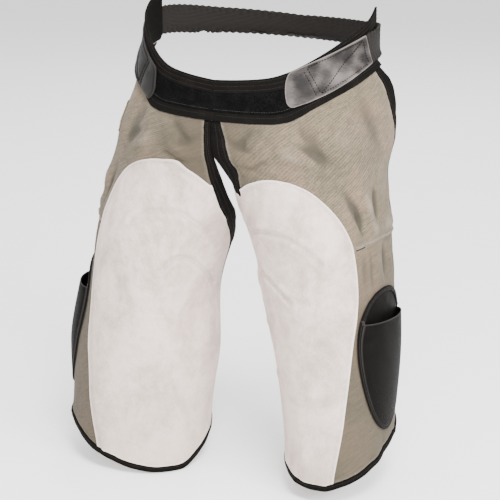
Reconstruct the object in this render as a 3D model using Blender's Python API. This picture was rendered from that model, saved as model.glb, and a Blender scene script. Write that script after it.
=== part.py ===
"""Apron chaps, worn and hollow: one named solid for each piece that a maker cuts and sews.

The origin is the middle of the waist where the belt carries the garment. +Z is up, the front faces -Y,
and the wearer's left is at +X. Metres throughout.

Each half of the garment is one smooth surface, read by an angle round the leg and a height. One net of
triangles covers that surface, with every sewn line in it, and each piece is a wall made from the triangles
inside its own outline. Pieces that lie on each other share those triangles, moved out.
"""
import math

import bmesh
import bpy
import numpy as np
from mathutils import Vector
from mathutils.geometry import delaunay_2d_cdt

RIGHT, LEFT = -1, 1
SIDE_NAMES = {RIGHT: "right", LEFT: "left"}

# Rings of the legs and the waist, from the top down. Each is an ellipse: out is its middle's distance from
# the body's middle, wide and deep its half sizes, back its middle's distance behind the waist's middle.
RING_COLUMNS = ("z", "turn", "deep", "right_out", "right_wide", "right_back",
                "left_out", "left_wide", "left_back")
RINGS = (
    (0.080, 0.0, 0.119, 0.000, 0.1825, 0.033, 0.000, 0.179, 0.033),
    (0.020, 0.0, 0.122, 0.000, 0.1825, 0.033, 0.000, 0.179, 0.033),
    (-0.040, 0.0, 0.139, 0.000, 0.2000, 0.037, 0.000, 0.1985, 0.037),
    (-0.100, 3.8, 0.1465, 0.030, 0.177, 0.025, 0.031, 0.178, 0.024),
    (-0.170, 6.8, 0.1255, 0.080, 0.136, 0.010, 0.086, 0.119, 0.007),
    (-0.250, 8.6, 0.1155, 0.121, 0.105, -0.012, 0.118, 0.100, -0.011),
    (-0.340, 8.6, 0.1055, 0.142, 0.096, -0.026, 0.136, 0.094, -0.023),
    (-0.450, 8.6, 0.0975, 0.157, 0.110, -0.030, 0.150, 0.0855, -0.025),
    (-0.580, 8.6, 0.1005, 0.168, 0.106, -0.028, 0.158, 0.0775, -0.028),
)

# Sewn lines. Angles are degrees from the front towards the outer side, negative on the inner side.
YOKE_TOP = ((-10, -0.016), (0, -0.016), (12, -0.013), (25, -0.008), (34, 0.000), (42, 0.010), (54, 0.027),
            (64, 0.041), (76, 0.055), (88, 0.068), (98, 0.082))
YOKE_BOTTOM = ((-10, -0.069), (0, -0.069), (24, -0.068), (31, -0.065), (37, -0.058), (44, -0.047),
               (55, -0.031), (68, -0.018), (83, -0.007), (98, -0.001))
YOKE_END = 98.0
BELT_MIDDLE = ((30, -0.042, -0.030), (45, -0.025, -0.012), (60, -0.008, 0.005), (75, 0.010, 0.019),
               (90, 0.025, 0.028), (105, 0.029, 0.030), (140, 0.021, 0.021), (180, 0.015, 0.015))
FRONT_EDGE = ((-0.127, -18, -17), (-0.144, -24.5, -23), (-0.160, -32, -29.4), (-0.177, -41, -37.6),
              (-0.195, -51.5, -48), (-0.215, -65, -61), (-0.238, -80, -76.6), (-0.261, -93.5, -91),
              (-0.290, -107, -105.5), (-0.330, -117, -116.5), (-0.400, -123.5, -123.5), (-0.500, -126, -126),
              (-0.660, -126, -126))
FORK_TOP, FORK_Z = -0.060, -0.122
BACK_EDGE = ((0.010, 95), (-0.027, 97.5), (-0.050, 101), (-0.075, 104), (-0.100, 107.5), (-0.135, 113),
             (-0.170, 117), (-0.240, 122), (-0.340, 130),
             (-0.450, 133), (-0.660, 133))
HEM = ((-150, -0.575, -0.575), (-126, -0.578, -0.572), (-98, -0.591, -0.580), (-80, -0.608, -0.587),
       (-55, -0.628, -0.595), (-35, -0.627, -0.602), (-15, -0.620, -0.605), (5, -0.609, -0.606),
       (25, -0.597, -0.599), (45, -0.580, -0.589), (65, -0.568, -0.573), (85, -0.557, -0.555),
       (105, -0.548, -0.546), (150, -0.540, -0.538))
SUEDE_LINE = ((-60, -0.2135, -0.2135), (-46, -0.196, -0.196), (-34, -0.1785, -0.1785), (-22, -0.1625, -0.165),
              (-9, -0.1466, -0.1543), (6, -0.1328, -0.1468), (16, -0.1358, -0.149), (25, -0.143, -0.1588),
              (33, -0.156, -0.1765), (39, -0.175, -0.1945), (43, -0.195, -0.210), (46, -0.216, -0.2265),
              (48, -0.245, -0.2445), (48.5, -0.275, -0.275), (48, -0.305, -0.305), (45, -0.340, -0.340),
              (40, -0.375, -0.375), (35, -0.415, -0.415), (30, -0.465, -0.465), (25.5, -0.510, -0.510),
              (21, -0.550, -0.550), (17, -0.586, -0.586), (14, -0.640, -0.640))
SIDE_SEAM = ((30, -0.250), (46, -0.247), (60, -0.243), (75, -0.240), (90, -0.240), (109, -0.243),
             (128, -0.250))
LEG_STRAP_Z, STRAP_RISE = -0.350, 0.004
STRAP_COLUMNS, STRAP_EXTRA = 14, 0.0004

# Pocket: an upright egg shape on the outer side of the shin.
POCKET_ANGLE = {RIGHT: 84.0, LEFT: 76.5}
POCKET_HALF_ANGLE = 34.0
POCKET_Z, POCKET_HALF_HEIGHT = -0.418, 0.108
POCKET_TOP_SWELL = 0.18
POCKET_MOUTH_Z = -0.351
POUCH_BULGE = {RIGHT: 0.014, LEFT: 0.012}
PATCH_ANGLES, PATCH_HEIGHTS = (56.0, 74.0), (-0.118, -0.080)

# Widths of the bands and straps.
FRONT_BINDING = ((0.066, 0.0075, 0.0110), (0.082, 0.0075, 0.0150), (0.102, 0.0080, 0.0195), (0.125, 0.0095, 0.0190),
                 (0.150, 0.0115, 0.0135), (0.180, 0.0130, 0.0120), (0.200, 0.0135, 0.0130))
BACK_BINDING = ((0.060, 0.018), (0.100, 0.015), (0.140, 0.011))
HEM_BINDING = 0.009
TOP_BAND, BOTTOM_BINDING, BINDING_LAP = 0.018, 0.009, 0.003
SUEDE_LAP = 0.012
BELT_WIDTH, STRAP_WIDTH = 0.045, 0.028
TAB_START, TAB_END, TAB_NOSE = 32.0, 84.0, 0.011
TAB_LEAN, TAB_SPACE = 0.35, 1.0
PIPING = 0.006

# Each wall's inner and outer face, measured out from the inside of the canvas.
CANVAS = (0.0, 0.0012)
SUEDE = (0.0015, 0.0029)
THICK_BINDING = (-0.0008, 0.0036)
THIN_BINDING = (-0.0008, 0.0022)
YOKE_LAYER = (0.0015, 0.0031)
BELT_LAYER = (0.0036, 0.0057)
POCKET_BACK = (0.0015, 0.0029)
POCKET_PIPING = (0.0032, 0.0048)
POUCH = (0.0032, 0.0046)
PATCH = (0.0015, 0.0027)
SEAM_GAP = 0.0003

# Folds of the cloth: where each starts and ends, how wide it is and how far it stands out or dips in.
FOLD_COLUMNS = ("angle", "z", "end_angle", "end_z", "width", "depth")
FOLDS = (
    (29, -0.078, 25, -0.128, 0.012, 0.0035),
    (40, -0.066, 40, -0.150, 0.011, -0.0035),
    (53, -0.050, 57, -0.140, 0.014, 0.0035),
    (70, -0.030, 80, -0.120, 0.013, -0.0030),
    (88, -0.030, 96, -0.150, 0.015, 0.0035),
    (-4, -0.090, 10, -0.118, 0.009, -0.0030),
    (-10, -0.118, 8, -0.132, 0.008, 0.0025),
    (50, -0.165, 62, -0.225, 0.009, -0.0045),
    (60, -0.150, 74, -0.220, 0.010, 0.0035),
    (52, -0.229, 116, -0.227, 0.014, 0.0050),
    (66, -0.236, 67, -0.200, 0.006, -0.0025),
    (77, -0.234, 79, -0.180, 0.007, -0.0035),
    (88, -0.235, 90, -0.195, 0.006, 0.0020),
    (97, -0.236, 98, -0.185, 0.007, -0.0035),
    (109, -0.236, 108, -0.195, 0.007, -0.0030),
    (58, -0.250, 56, -0.310, 0.008, -0.0025),
    (70, -0.246, 69, -0.300, 0.008, 0.0022),
    (84, -0.246, 84, -0.300, 0.008, -0.0025),
    (97, -0.248, 99, -0.320, 0.009, 0.0025),
    (111, -0.250, 113, -0.330, 0.009, -0.0025),
    (108, -0.360, 120, -0.500, 0.013, -0.0030),
    (60, -0.540, 64, -0.575, 0.014, 0.0025),
    (-70, -0.290, -20, -0.268, 0.018, -0.0025),
    (-40, -0.380, 10, -0.350, 0.024, -0.0025),
    (10, -0.430, 22, -0.560, 0.020, 0.0025),
    (-60, -0.440, -45, -0.590, 0.020, -0.0030),
    (-20, -0.500, -14, -0.600, 0.018, 0.0025),
    (-100, -0.330, -96, -0.560, 0.018, 0.0030),
)

# The hip panel's back edge stands away from the hip: from this angle on, down to these heights.
FLARE_ANGLE, FLARE_RUN, FLARE_HEIGHT = 88.0, 10.0, 0.0095
FLARE_RISE = ((0.002, 0.0), (-0.022, 1.0), (-0.050, 0.55), (-0.075, 0.22), (-0.100, 0.07), (-0.125, 0.0))

# The net of triangles: the distance between its points, and the girth that turns an angle into a width.
SPACING = 0.0205
LINE_STEP = 0.0165
GIRTH_RADIUS = 0.125
MERGE = 0.0008
NET_BOTTOM, NET_TOP, NET_ANGLES = -0.66, 0.10, (-140, 181)
ROW_RATIO, CLEAR_OF_LINES = 0.866, 0.62
LEAST_AREA = 1e-8

# Where lines are cut short, because the pieces that they part end there.
FRONT_INSET_TOP = -0.072
LEG_TOP, BACK_EDGE_TOP, BACK_INSET_TOP = 0.004, 0.006, 0.004
HEM_ENDS = (-132, 139)
BELT_START_GAP = 2.0
MOUTH_ANGLES, MOUTH_COUNT = (40, 113), 9
FORK_ROWS_TOP, FORK_ROWS = -0.084, 4
CENTRE_SNAP, CENTRE_SNAP_LOW = 4.5, -0.08
INNER_SIDE, NET_FLOOR = -160, -0.70
FOLD_END_HEIGHT = 0.35
ON_CENTRE, BACK_CENTRE, PAIR_ANGLE, PAIR_HEIGHT = 0.3, 179.9, 20, 0.001
SHARP_CORNER = 0.5


def smooth_value(xs, ys, x):
    """A curve through the table's values that never overshoots them."""
    xs, ys, x = np.asarray(xs, float), np.asarray(ys, float), np.asarray(x, float)
    gaps = np.diff(xs)
    rises = np.diff(ys) / gaps
    slopes = np.zeros(len(xs))
    slopes[0], slopes[-1] = rises[0], rises[-1]
    same_way = rises[1:] * rises[:-1] > 0
    weight_a, weight_b = 2 * gaps[1:] + gaps[:-1], gaps[1:] + 2 * gaps[:-1]
    safe_a, safe_b = np.where(same_way, rises[:-1], 1.0), np.where(same_way, rises[1:], 1.0)
    slopes[1:-1] = np.where(same_way, (weight_a + weight_b) / (weight_a / safe_a + weight_b / safe_b), 0.0)
    x = np.clip(x, xs[0], xs[-1])
    i = np.clip(np.searchsorted(xs, x) - 1, 0, len(gaps) - 1)
    t = (x - xs[i]) / gaps[i]
    start, end = ys[i], ys[i + 1]
    start_slope, end_slope = slopes[i] * gaps[i], slopes[i + 1] * gaps[i]
    return (start * (1 + 2 * t) * (1 - t) ** 2 + start_slope * t * (1 - t) ** 2
            + end * t * t * (3 - 2 * t) + end_slope * t * t * (t - 1))


RING_TABLE = np.array(RINGS)


def ring(name, z):
    """One ring size at the heights z."""
    column = RING_TABLE[:, RING_COLUMNS.index(name)]
    return smooth_value(-RING_TABLE[:, 0], column, -np.asarray(z, float))


def fold_height(angle, z):
    """How far the folds move the cloth out at each angle and height."""
    total = np.zeros(np.shape(angle))
    u, v = np.radians(angle) * GIRTH_RADIUS, np.asarray(z, float)
    for row in FOLDS:
        fold = dict(zip(FOLD_COLUMNS, row))
        start = np.array([math.radians(fold["angle"]) * GIRTH_RADIUS, fold["z"]])
        way = np.array([math.radians(fold["end_angle"]) * GIRTH_RADIUS, fold["end_z"]]) - start
        along = ((u - start[0]) * way[0] + (v - start[1]) * way[1]) / way.dot(way)
        held = np.clip(along, 0, 1)
        away = np.hypot(u - start[0] - held * way[0], v - start[1] - held * way[1])
        total += fold["depth"] * np.exp(-(away / fold["width"]) ** 2) * (
            FOLD_END_HEIGHT + (1 - FOLD_END_HEIGHT) * np.sin(np.pi * held))
    return total


def flare_height(angle, z):
    """How far the back edge of the hip panel stands away."""
    heights, shares = zip(*FLARE_RISE)
    share = np.interp(-np.asarray(z, float), [-h for h in heights], shares)
    return FLARE_HEIGHT * share * np.clip((angle - FLARE_ANGLE) / FLARE_RUN, 0, 1.6) ** 2


def plain_point(side, angle, z):
    """A point of one half's surface, before its folds."""
    name = SIDE_NAMES[side]
    a = np.radians(angle)
    x = side * (ring(name + "_out", z) + ring(name + "_wide", z) * np.sin(a))
    y = ring(name + "_back", z) - ring("deep", z) * np.cos(a)
    return np.stack([x, y, np.asarray(z, float) + 0 * x], -1)


def facing(point, side, angle, z):
    """The outward direction of a surface, from its slopes at each point."""
    turn_step, rise_step = 0.05, 0.0002
    across = point(side, angle + turn_step, z) - point(side, angle - turn_step, z)
    up = point(side, angle, z + rise_step) - point(side, angle, z - rise_step)
    normal = side * np.cross(across, up)
    return normal / np.linalg.norm(normal, axis=-1, keepdims=True)


def cloth_point(side, angle, z):
    """A point of the inside of the canvas, folds included."""
    plain = plain_point(side, angle, z)
    lift = fold_height(angle, z) + flare_height(angle, z)
    return plain + facing(plain_point, side, angle, z) * lift[..., None]


def turned(points, z):
    """The legs turn a little to the wearer's left with depth, as the wearer stands."""
    a = np.radians(ring("turn", z))
    x, y = points[..., 0], points[..., 1]
    return np.stack([x * np.cos(a) - y * np.sin(a), x * np.sin(a) + y * np.cos(a), points[..., 2]], -1)


def centre_angle(side, z):
    """The angle at which a half meets the body's middle plane in front."""
    name = SIDE_NAMES[side]
    return -np.degrees(np.arcsin(np.clip(ring(name + "_out", z) / ring(name + "_wide", z), 0, 1)))


def radius(side, z):
    return (ring(SIDE_NAMES[side] + "_wide", z) + ring("deep", z)) / 2


def resampled(line, step=LINE_STEP):
    """Points at an even step on a smooth curve through a line's own points."""
    line = np.asarray(line, float)
    flat = line * [math.radians(1) * GIRTH_RADIUS, 1]
    run = np.r_[0, np.cumsum(np.linalg.norm(np.diff(flat, axis=0), axis=1))]
    count = max(1, round(run[-1] / step))
    at = np.linspace(0, run[-1], count + 1)
    return np.stack([smooth_value(run, line[:, 0], at), smooth_value(run, line[:, 1], at)], -1)


def inset(side, line, width):
    """A line moved sideways, to its left as it runs, by a real width on the cloth."""
    line = np.asarray(line, float)
    scale = np.radians(1) * radius(side, line[:, 1])
    flat = np.stack([line[:, 0] * scale, line[:, 1]], -1)
    ahead = np.roll(flat, -1, 0)
    behind = np.roll(flat, 1, 0)
    ahead[-1], behind[0] = flat[-1], flat[0]
    way = ahead - behind
    scale_gap = (np.roll(scale, -1) - np.roll(scale, 1)) * line[:, 0]
    scale_gap[0] = scale_gap[-1] = 0
    way[:, 0] -= scale_gap
    way /= np.linalg.norm(way, axis=1, keepdims=True)
    return line + np.stack([-way[:, 1] * width / scale, way[:, 0] * width], -1)


def inside(polygon, angle, z):
    """True for each point that lies within a closed outline."""
    found = np.zeros(np.shape(angle), bool)
    for (a0, z0), (a1, z1) in zip(polygon, np.roll(polygon, -1, 0)):
        if z0 == z1:
            continue
        spans = (z0 > z) != (z1 > z)
        found ^= spans & (angle < a0 + (z - z0) * (a1 - a0) / (z1 - z0))
    return found


def side_table(rows, side):
    """The angle and this side's column of a table that has one for each side."""
    column = 1 if side == RIGHT else 2
    return np.array([(row[0], row[column]) for row in rows], float)


def egg(side, shrink, count=36):
    """The pocket's outline, or one inside it by a real width."""
    t = np.linspace(0, 2 * np.pi, count, endpoint=False)
    shin_radius = radius(side, POCKET_Z)
    half_angle = POCKET_HALF_ANGLE - math.degrees(shrink / shin_radius)
    angles = POCKET_ANGLE[side] + half_angle * np.cos(t) * (1 + POCKET_TOP_SWELL * np.sin(t))
    return np.stack([angles, POCKET_Z + (POCKET_HALF_HEIGHT - shrink) * np.sin(t)], -1)


class Lines:
    """Every sewn line of one half, as points on its surface."""

    def __init__(self, side):
        self.side = side
        top = resampled(YOKE_TOP[1:])
        bottom = resampled(YOKE_BOTTOM[1:])
        self.yoke_top, self.yoke_bottom = top, bottom
        self.top_band = inset(side, top, -TOP_BAND)
        self.binding_top = inset(side, bottom, BOTTOM_BINDING)
        self.binding_low = inset(side, bottom, -BINDING_LAP)
        self.top_band[0] = 0, top[0, 1] - TOP_BAND
        self.binding_top[0] = 0, bottom[0, 1] + BOTTOM_BINDING
        self.binding_low[0] = 0, bottom[0, 1] - BINDING_LAP
        middle = resampled(side_table(BELT_MIDDLE, side))
        self.belt_top = inset(side, middle, BELT_WIDTH / 2)
        self.belt_low = inset(side, middle, -BELT_WIDTH / 2)
        front_z = np.r_[FORK_TOP, FRONT_INSET_TOP, np.linspace(FORK_ROWS_TOP, FORK_Z, FORK_ROWS)]
        fork = np.stack([centre_angle(side, front_z), front_z], -1)
        self.front_edge = np.concatenate([fork, resampled(side_table(FRONT_EDGE, side)[:, ::-1])])
        front_width = np.interp(-self.front_edge[:, 1], *side_table(FRONT_BINDING, side).T)
        self.front_inset = inset(side, self.front_edge, front_width)
        self.back_edge = resampled([(a, z) for z, a in BACK_EDGE])
        self.back_inset = inset(side, self.back_edge, -np.interp(-self.back_edge[:, 1], *zip(*BACK_BINDING)))
        self.hem = resampled(side_table(HEM, side))
        self.hem_inset = inset(side, self.hem, HEM_BINDING)
        self.suede = resampled(side_table(SUEDE_LINE, side))
        self.suede_lap = inset(side, self.suede, -SUEDE_LAP)
        self.seam = resampled(SIDE_SEAM)
        self.pocket, self.pouch = egg(side, 0), egg(side, PIPING)
        self.tab_end = self.across_belt(TAB_END)
        self.tab_nose = self.nose()

    def across_belt(self, angle):
        """A straight cut across the belt, square to it."""
        low = (angle, np.interp(angle, *self.belt_low.T))
        lean = math.degrees(BELT_WIDTH / radius(self.side, low[1])) * TAB_LEAN
        return np.array([(angle + lean / 2, np.interp(angle + lean / 2, *self.belt_low.T)),
                         (angle - lean / 2, np.interp(angle - lean / 2, *self.belt_top.T))])

    def nose(self):
        """The tab's front end, a short edge with two round corners."""
        turn = math.degrees(TAB_NOSE / radius(self.side, 0.0))
        start = TAB_START
        top = [(start + turn * (1 - math.cos(t)), 1 - (1 - math.sin(t)) * 0.5)
               for t in np.linspace(0, math.pi / 2, 5)]
        share = [(a, s) for a, s in reversed(top)] + [(a, 1 - s) for a, s in top]
        low, high = self.belt_low, self.belt_top
        return np.array([(a, np.interp(a, *low.T) * (1 - s) + np.interp(a, *high.T) * s) for a, s in share])

    def tab_outline(self):
        nose, end = self.tab_nose, self.tab_end
        low, top = self.belt_low, self.belt_top
        low = low[(low[:, 0] > nose[-1, 0] + TAB_SPACE) & (low[:, 0] < end[0, 0] - TAB_SPACE)]
        top = top[(top[:, 0] > nose[0, 0] + TAB_SPACE) & (top[:, 0] < end[1, 0] - TAB_SPACE)]
        return np.concatenate([nose, low, end, top[::-1]])

    def patch_outline(self):
        (a0, a1), (z0, z1) = PATCH_ANGLES, PATCH_HEIGHTS
        return np.array([(a0, z0), ((a0 + a1) / 2, z0), (a1, z0), (a1, (z0 + z1) / 2), (a1, z1),
                         ((a0 + a1) / 2, z1), (a0, z1), (a0, (z0 + z1) / 2)])

    def open_lines(self):
        """The lines that the net follows, each cut where it leaves the pieces it parts."""
        front_limit = self.front_inset[self.front_inset[:, 1] < FRONT_INSET_TOP]
        hem_ends = (self.hem[:, 0] > HEM_ENDS[0]) & (self.hem[:, 0] < HEM_ENDS[1])
        belt_part = self.belt_top[:, 0] > TAB_END + BELT_START_GAP
        mouth = np.stack([np.linspace(*MOUTH_ANGLES, MOUTH_COUNT), np.full(MOUTH_COUNT, POCKET_MOUTH_Z)], -1)
        mouth = mouth[inside(self.pocket, mouth[:, 0], mouth[:, 1])]
        end_z = np.linspace(np.interp(YOKE_END, *self.yoke_bottom.T), self.yoke_top[-1, 1], 7)
        end = np.stack([np.full(7, YOKE_END), end_z], -1)
        back_z = np.linspace(self.belt_low[-1, 1], self.belt_top[-1, 1], 4)
        behind = np.stack([np.full(4, 180.0), back_z], -1)
        return [self.yoke_top, self.yoke_bottom, self.top_band, self.binding_top, self.binding_low,
                self.front_edge, front_limit, self.back_edge[self.back_edge[:, 1] < BACK_EDGE_TOP],
                self.back_inset[self.back_inset[:, 1] < BACK_INSET_TOP], self.hem[hem_ends], self.hem_inset[hem_ends],
                self.suede, self.suede_lap, self.seam, mouth, end, behind, self.tab_end,
                self.belt_top[belt_part], self.belt_low[belt_part]]

    def closed_lines(self):
        loops = [self.pocket, self.pouch, self.tab_outline()]
        return loops + ([self.patch_outline()] if self.side == RIGHT else [])


def centre_heights():
    """Heights of the net's points on the middle plane, the same for both halves."""
    lines = Lines(LEFT)
    marks = [line[0, 1] for line in (lines.yoke_top, lines.top_band, lines.binding_top, lines.yoke_bottom,
                                     lines.binding_low)]
    return np.array(sorted(marks + list(np.linspace(FORK_ROWS_TOP, FORK_Z, FORK_ROWS)), reverse=True))


def make_net(lines):
    """Triangles over one half, with every line in them: angles, heights and the triangles' corners."""
    side = lines.side
    heights = centre_heights()
    centre = np.stack([centre_angle(side, heights), heights], -1)
    scale = np.array([math.radians(1) * GIRTH_RADIUS, 1])
    points, edges = [], []

    def add(line, closed=False):
        first = len(points)
        points.extend(line * scale)
        edges.extend((first + i, first + i + 1) for i in range(len(line) - 1))
        if closed:
            edges.append((first + len(line) - 1, first))

    add(centre)
    for line in lines.open_lines():
        keep = (line[:, 1] < FORK_Z) | (line[:, 0] >= centre_angle(side, line[:, 1]) - 1e-6)
        line = line[keep]
        if abs(line[0, 0] - centre_angle(side, line[0, 1])) < CENTRE_SNAP and line[0, 1] > CENTRE_SNAP_LOW:
            line[0, 0] = centre_angle(side, line[0, 1])
        add(line)
    for line in lines.closed_lines():
        add(line, closed=True)

    fixed = np.array(points)
    rows = np.arange(NET_BOTTOM, NET_TOP, SPACING * ROW_RATIO)
    first, last = (math.radians(angle) * GIRTH_RADIUS for angle in NET_ANGLES)
    grid = [(u + (i % 2) * SPACING / 2, v) for i, v in enumerate(rows) for u in np.arange(first, last, SPACING)]
    for u, v in grid:
        if np.min(np.hypot(fixed[:, 0] - u, fixed[:, 1] - v)) > CLEAR_OF_LINES * SPACING:
            points.append(np.array([u, v]))
    found = delaunay_2d_cdt([Vector(p) for p in points], edges, [], 0, MERGE, False)
    flat = np.array([tuple(v) for v in found[0]])
    corners = np.array([tuple(f) for f in found[2]])
    a, b, c = flat[corners].transpose(1, 0, 2)
    area = (b[:, 0] - a[:, 0]) * (c[:, 1] - a[:, 1]) - (b[:, 1] - a[:, 1]) * (c[:, 0] - a[:, 0])
    corners[area < 0] = corners[area < 0][:, ::-1]
    corners = corners[np.abs(area) > LEAST_AREA]
    return flat / scale, corners


def lies_in(lines, angle, z):
    """The pieces that each triangle belongs to, by its middle."""
    def height(line):
        order = np.argsort(line[:, 0])
        return np.interp(angle, line[order, 0], line[order, 1])

    def at_height(line):
        order = np.argsort(line[:, 1])
        return np.interp(z, line[order, 1], line[order, 0])

    yoke = (z < height(lines.yoke_top)) & (z > height(lines.yoke_bottom)) & (angle < YOKE_END)
    yoke &= angle > centre_angle(lines.side, z)
    lap = (z > height(lines.binding_low)) & (z < height(lines.binding_top)) & (angle < YOKE_END)
    lap &= angle > centre_angle(lines.side, z)
    below = (z < height(lines.yoke_bottom)) & (z < LEG_TOP)
    leg = below & (z > height(lines.hem)) & (angle > at_height(lines.front_edge))
    leg &= angle < at_height(lines.back_edge)
    hem = leg & (z < height(lines.hem_inset))
    clear_of_yoke = leg & ~hem & (z < height(lines.binding_low))
    front = clear_of_yoke & (angle < at_height(lines.front_inset))
    back = clear_of_yoke & (angle > at_height(lines.back_inset))
    field = leg & ~hem & ~front & ~back
    inner_side = np.array([(INNER_SIDE, NET_FLOOR), (INNER_SIDE, lines.suede[0, 1])])
    under = inside(np.concatenate([lines.suede, inner_side]), angle, z)
    covered = inside(np.concatenate([lines.suede_lap, inner_side]), angle, z)
    above_seam = z > height(lines.seam)
    tab = inside(lines.tab_outline(), angle, z)
    end_low, end_high = lines.tab_end
    past_tab = angle > end_low[0] + (z - end_low[1]) * (end_high[0] - end_low[0]) / (end_high[1] - end_low[1])
    belt = (z < height(lines.belt_top)) & (z > height(lines.belt_low)) & past_tab & (angle < 180)
    pocket = inside(lines.pocket, angle, z)
    pouch_area = inside(lines.pouch, angle, z)
    patch = inside(lines.patch_outline(), angle, z)
    return {
        "yoke_cloth": yoke, "yoke_top_band": yoke & (z > height(lines.top_band)),
        "yoke_pile": yoke & (z < height(lines.top_band)) & (z > height(lines.binding_top)),
        "yoke_bottom_binding": lap, "back_belt": belt, "belt_tab": tab,
        "hem_binding": hem, "front_binding": front, "back_binding": back,
        "hip_panel": field & ~covered & above_seam, "shin_panel": field & ~covered & ~above_seam,
        "suede_patch": field & under, "pocket_back": pocket, "pocket_piping": pocket & ~pouch_area,
        "pocket_pouch": pouch_area & (z < POCKET_MOUTH_Z), "hip_patch": patch,
    }


def largest_group(corners):
    """The triangles of the largest patch that hangs together by its edges."""
    owner = {}
    parent = list(range(len(corners)))

    def root(i):
        while parent[i] != i:
            parent[i] = parent[parent[i]]
            i = parent[i]
        return i

    for i, triangle in enumerate(corners):
        for k in range(3):
            edge = frozenset((triangle[k], triangle[(k + 1) % 3]))
            if edge in owner:
                parent[root(i)] = root(owner[edge])
            owner[edge] = i
    roots = np.array([root(i) for i in range(len(corners))])
    values, counts = np.unique(roots, return_counts=True)
    return corners[roots == values[np.argmax(counts)]]


class Garment:
    """Both halves' nets in one list, with the points on the middle plane paired."""

    def __init__(self):
        self.side, self.angle, self.z, self.pieces = [], [], [], {}
        for side in (LEFT, RIGHT):
            lines = Lines(side)
            flat, corners = make_net(lines)
            middles = flat[corners].mean(1)
            first = len(self.angle)
            for name, chosen in lies_in(lines, middles[:, 0], middles[:, 1]).items():
                self.pieces[name, side] = corners[chosen] + first
            self.side.extend([side] * len(flat))
            self.angle.extend(flat[:, 0])
            self.z.extend(flat[:, 1])
        self.side, self.angle, self.z = np.array(self.side), np.array(self.angle), np.array(self.z)
        self.pairs = self.find_pairs()

    def on_middle(self):
        centre = np.where(self.side == RIGHT, centre_angle(RIGHT, self.z), centre_angle(LEFT, self.z))
        return ((np.abs(self.angle - centre) < ON_CENTRE) & (self.z > FORK_Z - PAIR_HEIGHT)) | (
            self.angle > BACK_CENTRE)

    def find_pairs(self):
        """Each right-hand point on the middle plane, and the left-hand point that it meets."""
        middle = self.on_middle()
        lefts = np.flatnonzero(middle & (self.side == LEFT))
        pairs = {}
        for i in np.flatnonzero(middle & (self.side == RIGHT)):
            near = lefts[np.abs(self.angle[lefts] - self.angle[i]) < PAIR_ANGLE]
            j = near[np.argmin(np.abs(self.z[near] - self.z[i]))]
            if abs(self.z[j] - self.z[i]) < PAIR_HEIGHT:
                pairs[i] = j
        return pairs

    def place(self, index, angle, z, out):
        """World points for net points moved along the cloth and out from it."""
        result = np.zeros((len(index), 3))
        for side in (LEFT, RIGHT):
            mine = self.side[index] == side
            if mine.any():
                a, h, o = angle[mine], z[mine], out[mine]
                local = cloth_point(side, a, h) + facing(cloth_point, side, a, h) * o[:, None]
                local[:, 0] = side * np.maximum(side * local[:, 0], SEAM_GAP / 2)
                result[mine] = local
        return result


def moved_in(garment, raw, joined):
    """The net's points with each border point moved in by half the seam gap."""
    angle, z = garment.angle.copy(), garment.z.copy()
    normals = {}
    for (a, b, _), (ra, rb, rc) in zip(*raw):
        side = garment.side[ra]
        scale = math.radians(1) * radius(side, garment.z[ra])
        flat = [np.array([garment.angle[i] * scale, garment.z[i]]) for i in (ra, rb, rc)]
        way = flat[1] - flat[0]
        way = way / np.linalg.norm(way)
        inward = flat[2] - flat[0]
        inward = inward - way * inward.dot(way)
        inward = inward / np.linalg.norm(inward)
        for i in (a, b):
            normals.setdefault(i, []).append((inward, scale))
    for i, found in normals.items():
        total = sum(n for n, _ in found)
        if i in joined:
            total[0] = 0.0
        length = np.linalg.norm(total)
        if length < 1e-6:
            continue
        sharp = max(SHARP_CORNER, length / len(found))
        shift = total / length * SEAM_GAP / 2 / sharp
        angle[i] += shift[0] / found[0][1]
        z[i] += shift[1]
    return angle, z


def make_material(name, colour, roughness):
    material = bpy.data.materials.new(name)
    material.use_nodes = True
    shader = material.node_tree.nodes["Principled BSDF"]
    shader.inputs["Base Color"].default_value = (*colour, 1.0)
    shader.inputs["Roughness"].default_value = roughness
    shader.inputs["Metallic"].default_value = 0.0
    return material


def make_object(name, points, faces, colour, roughness):
    mesh = bpy.data.meshes.new(name)
    bm = bmesh.new()
    corners = [bm.verts.new(point) for point in points]
    for face in faces:
        bm.faces.new([corners[i] for i in face])
    bm.to_mesh(mesh)
    bm.free()
    mesh.materials.append(make_material(name + "_finish", colour, roughness))
    bpy.context.scene.collection.objects.link(bpy.data.objects.new(name, mesh))


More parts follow.
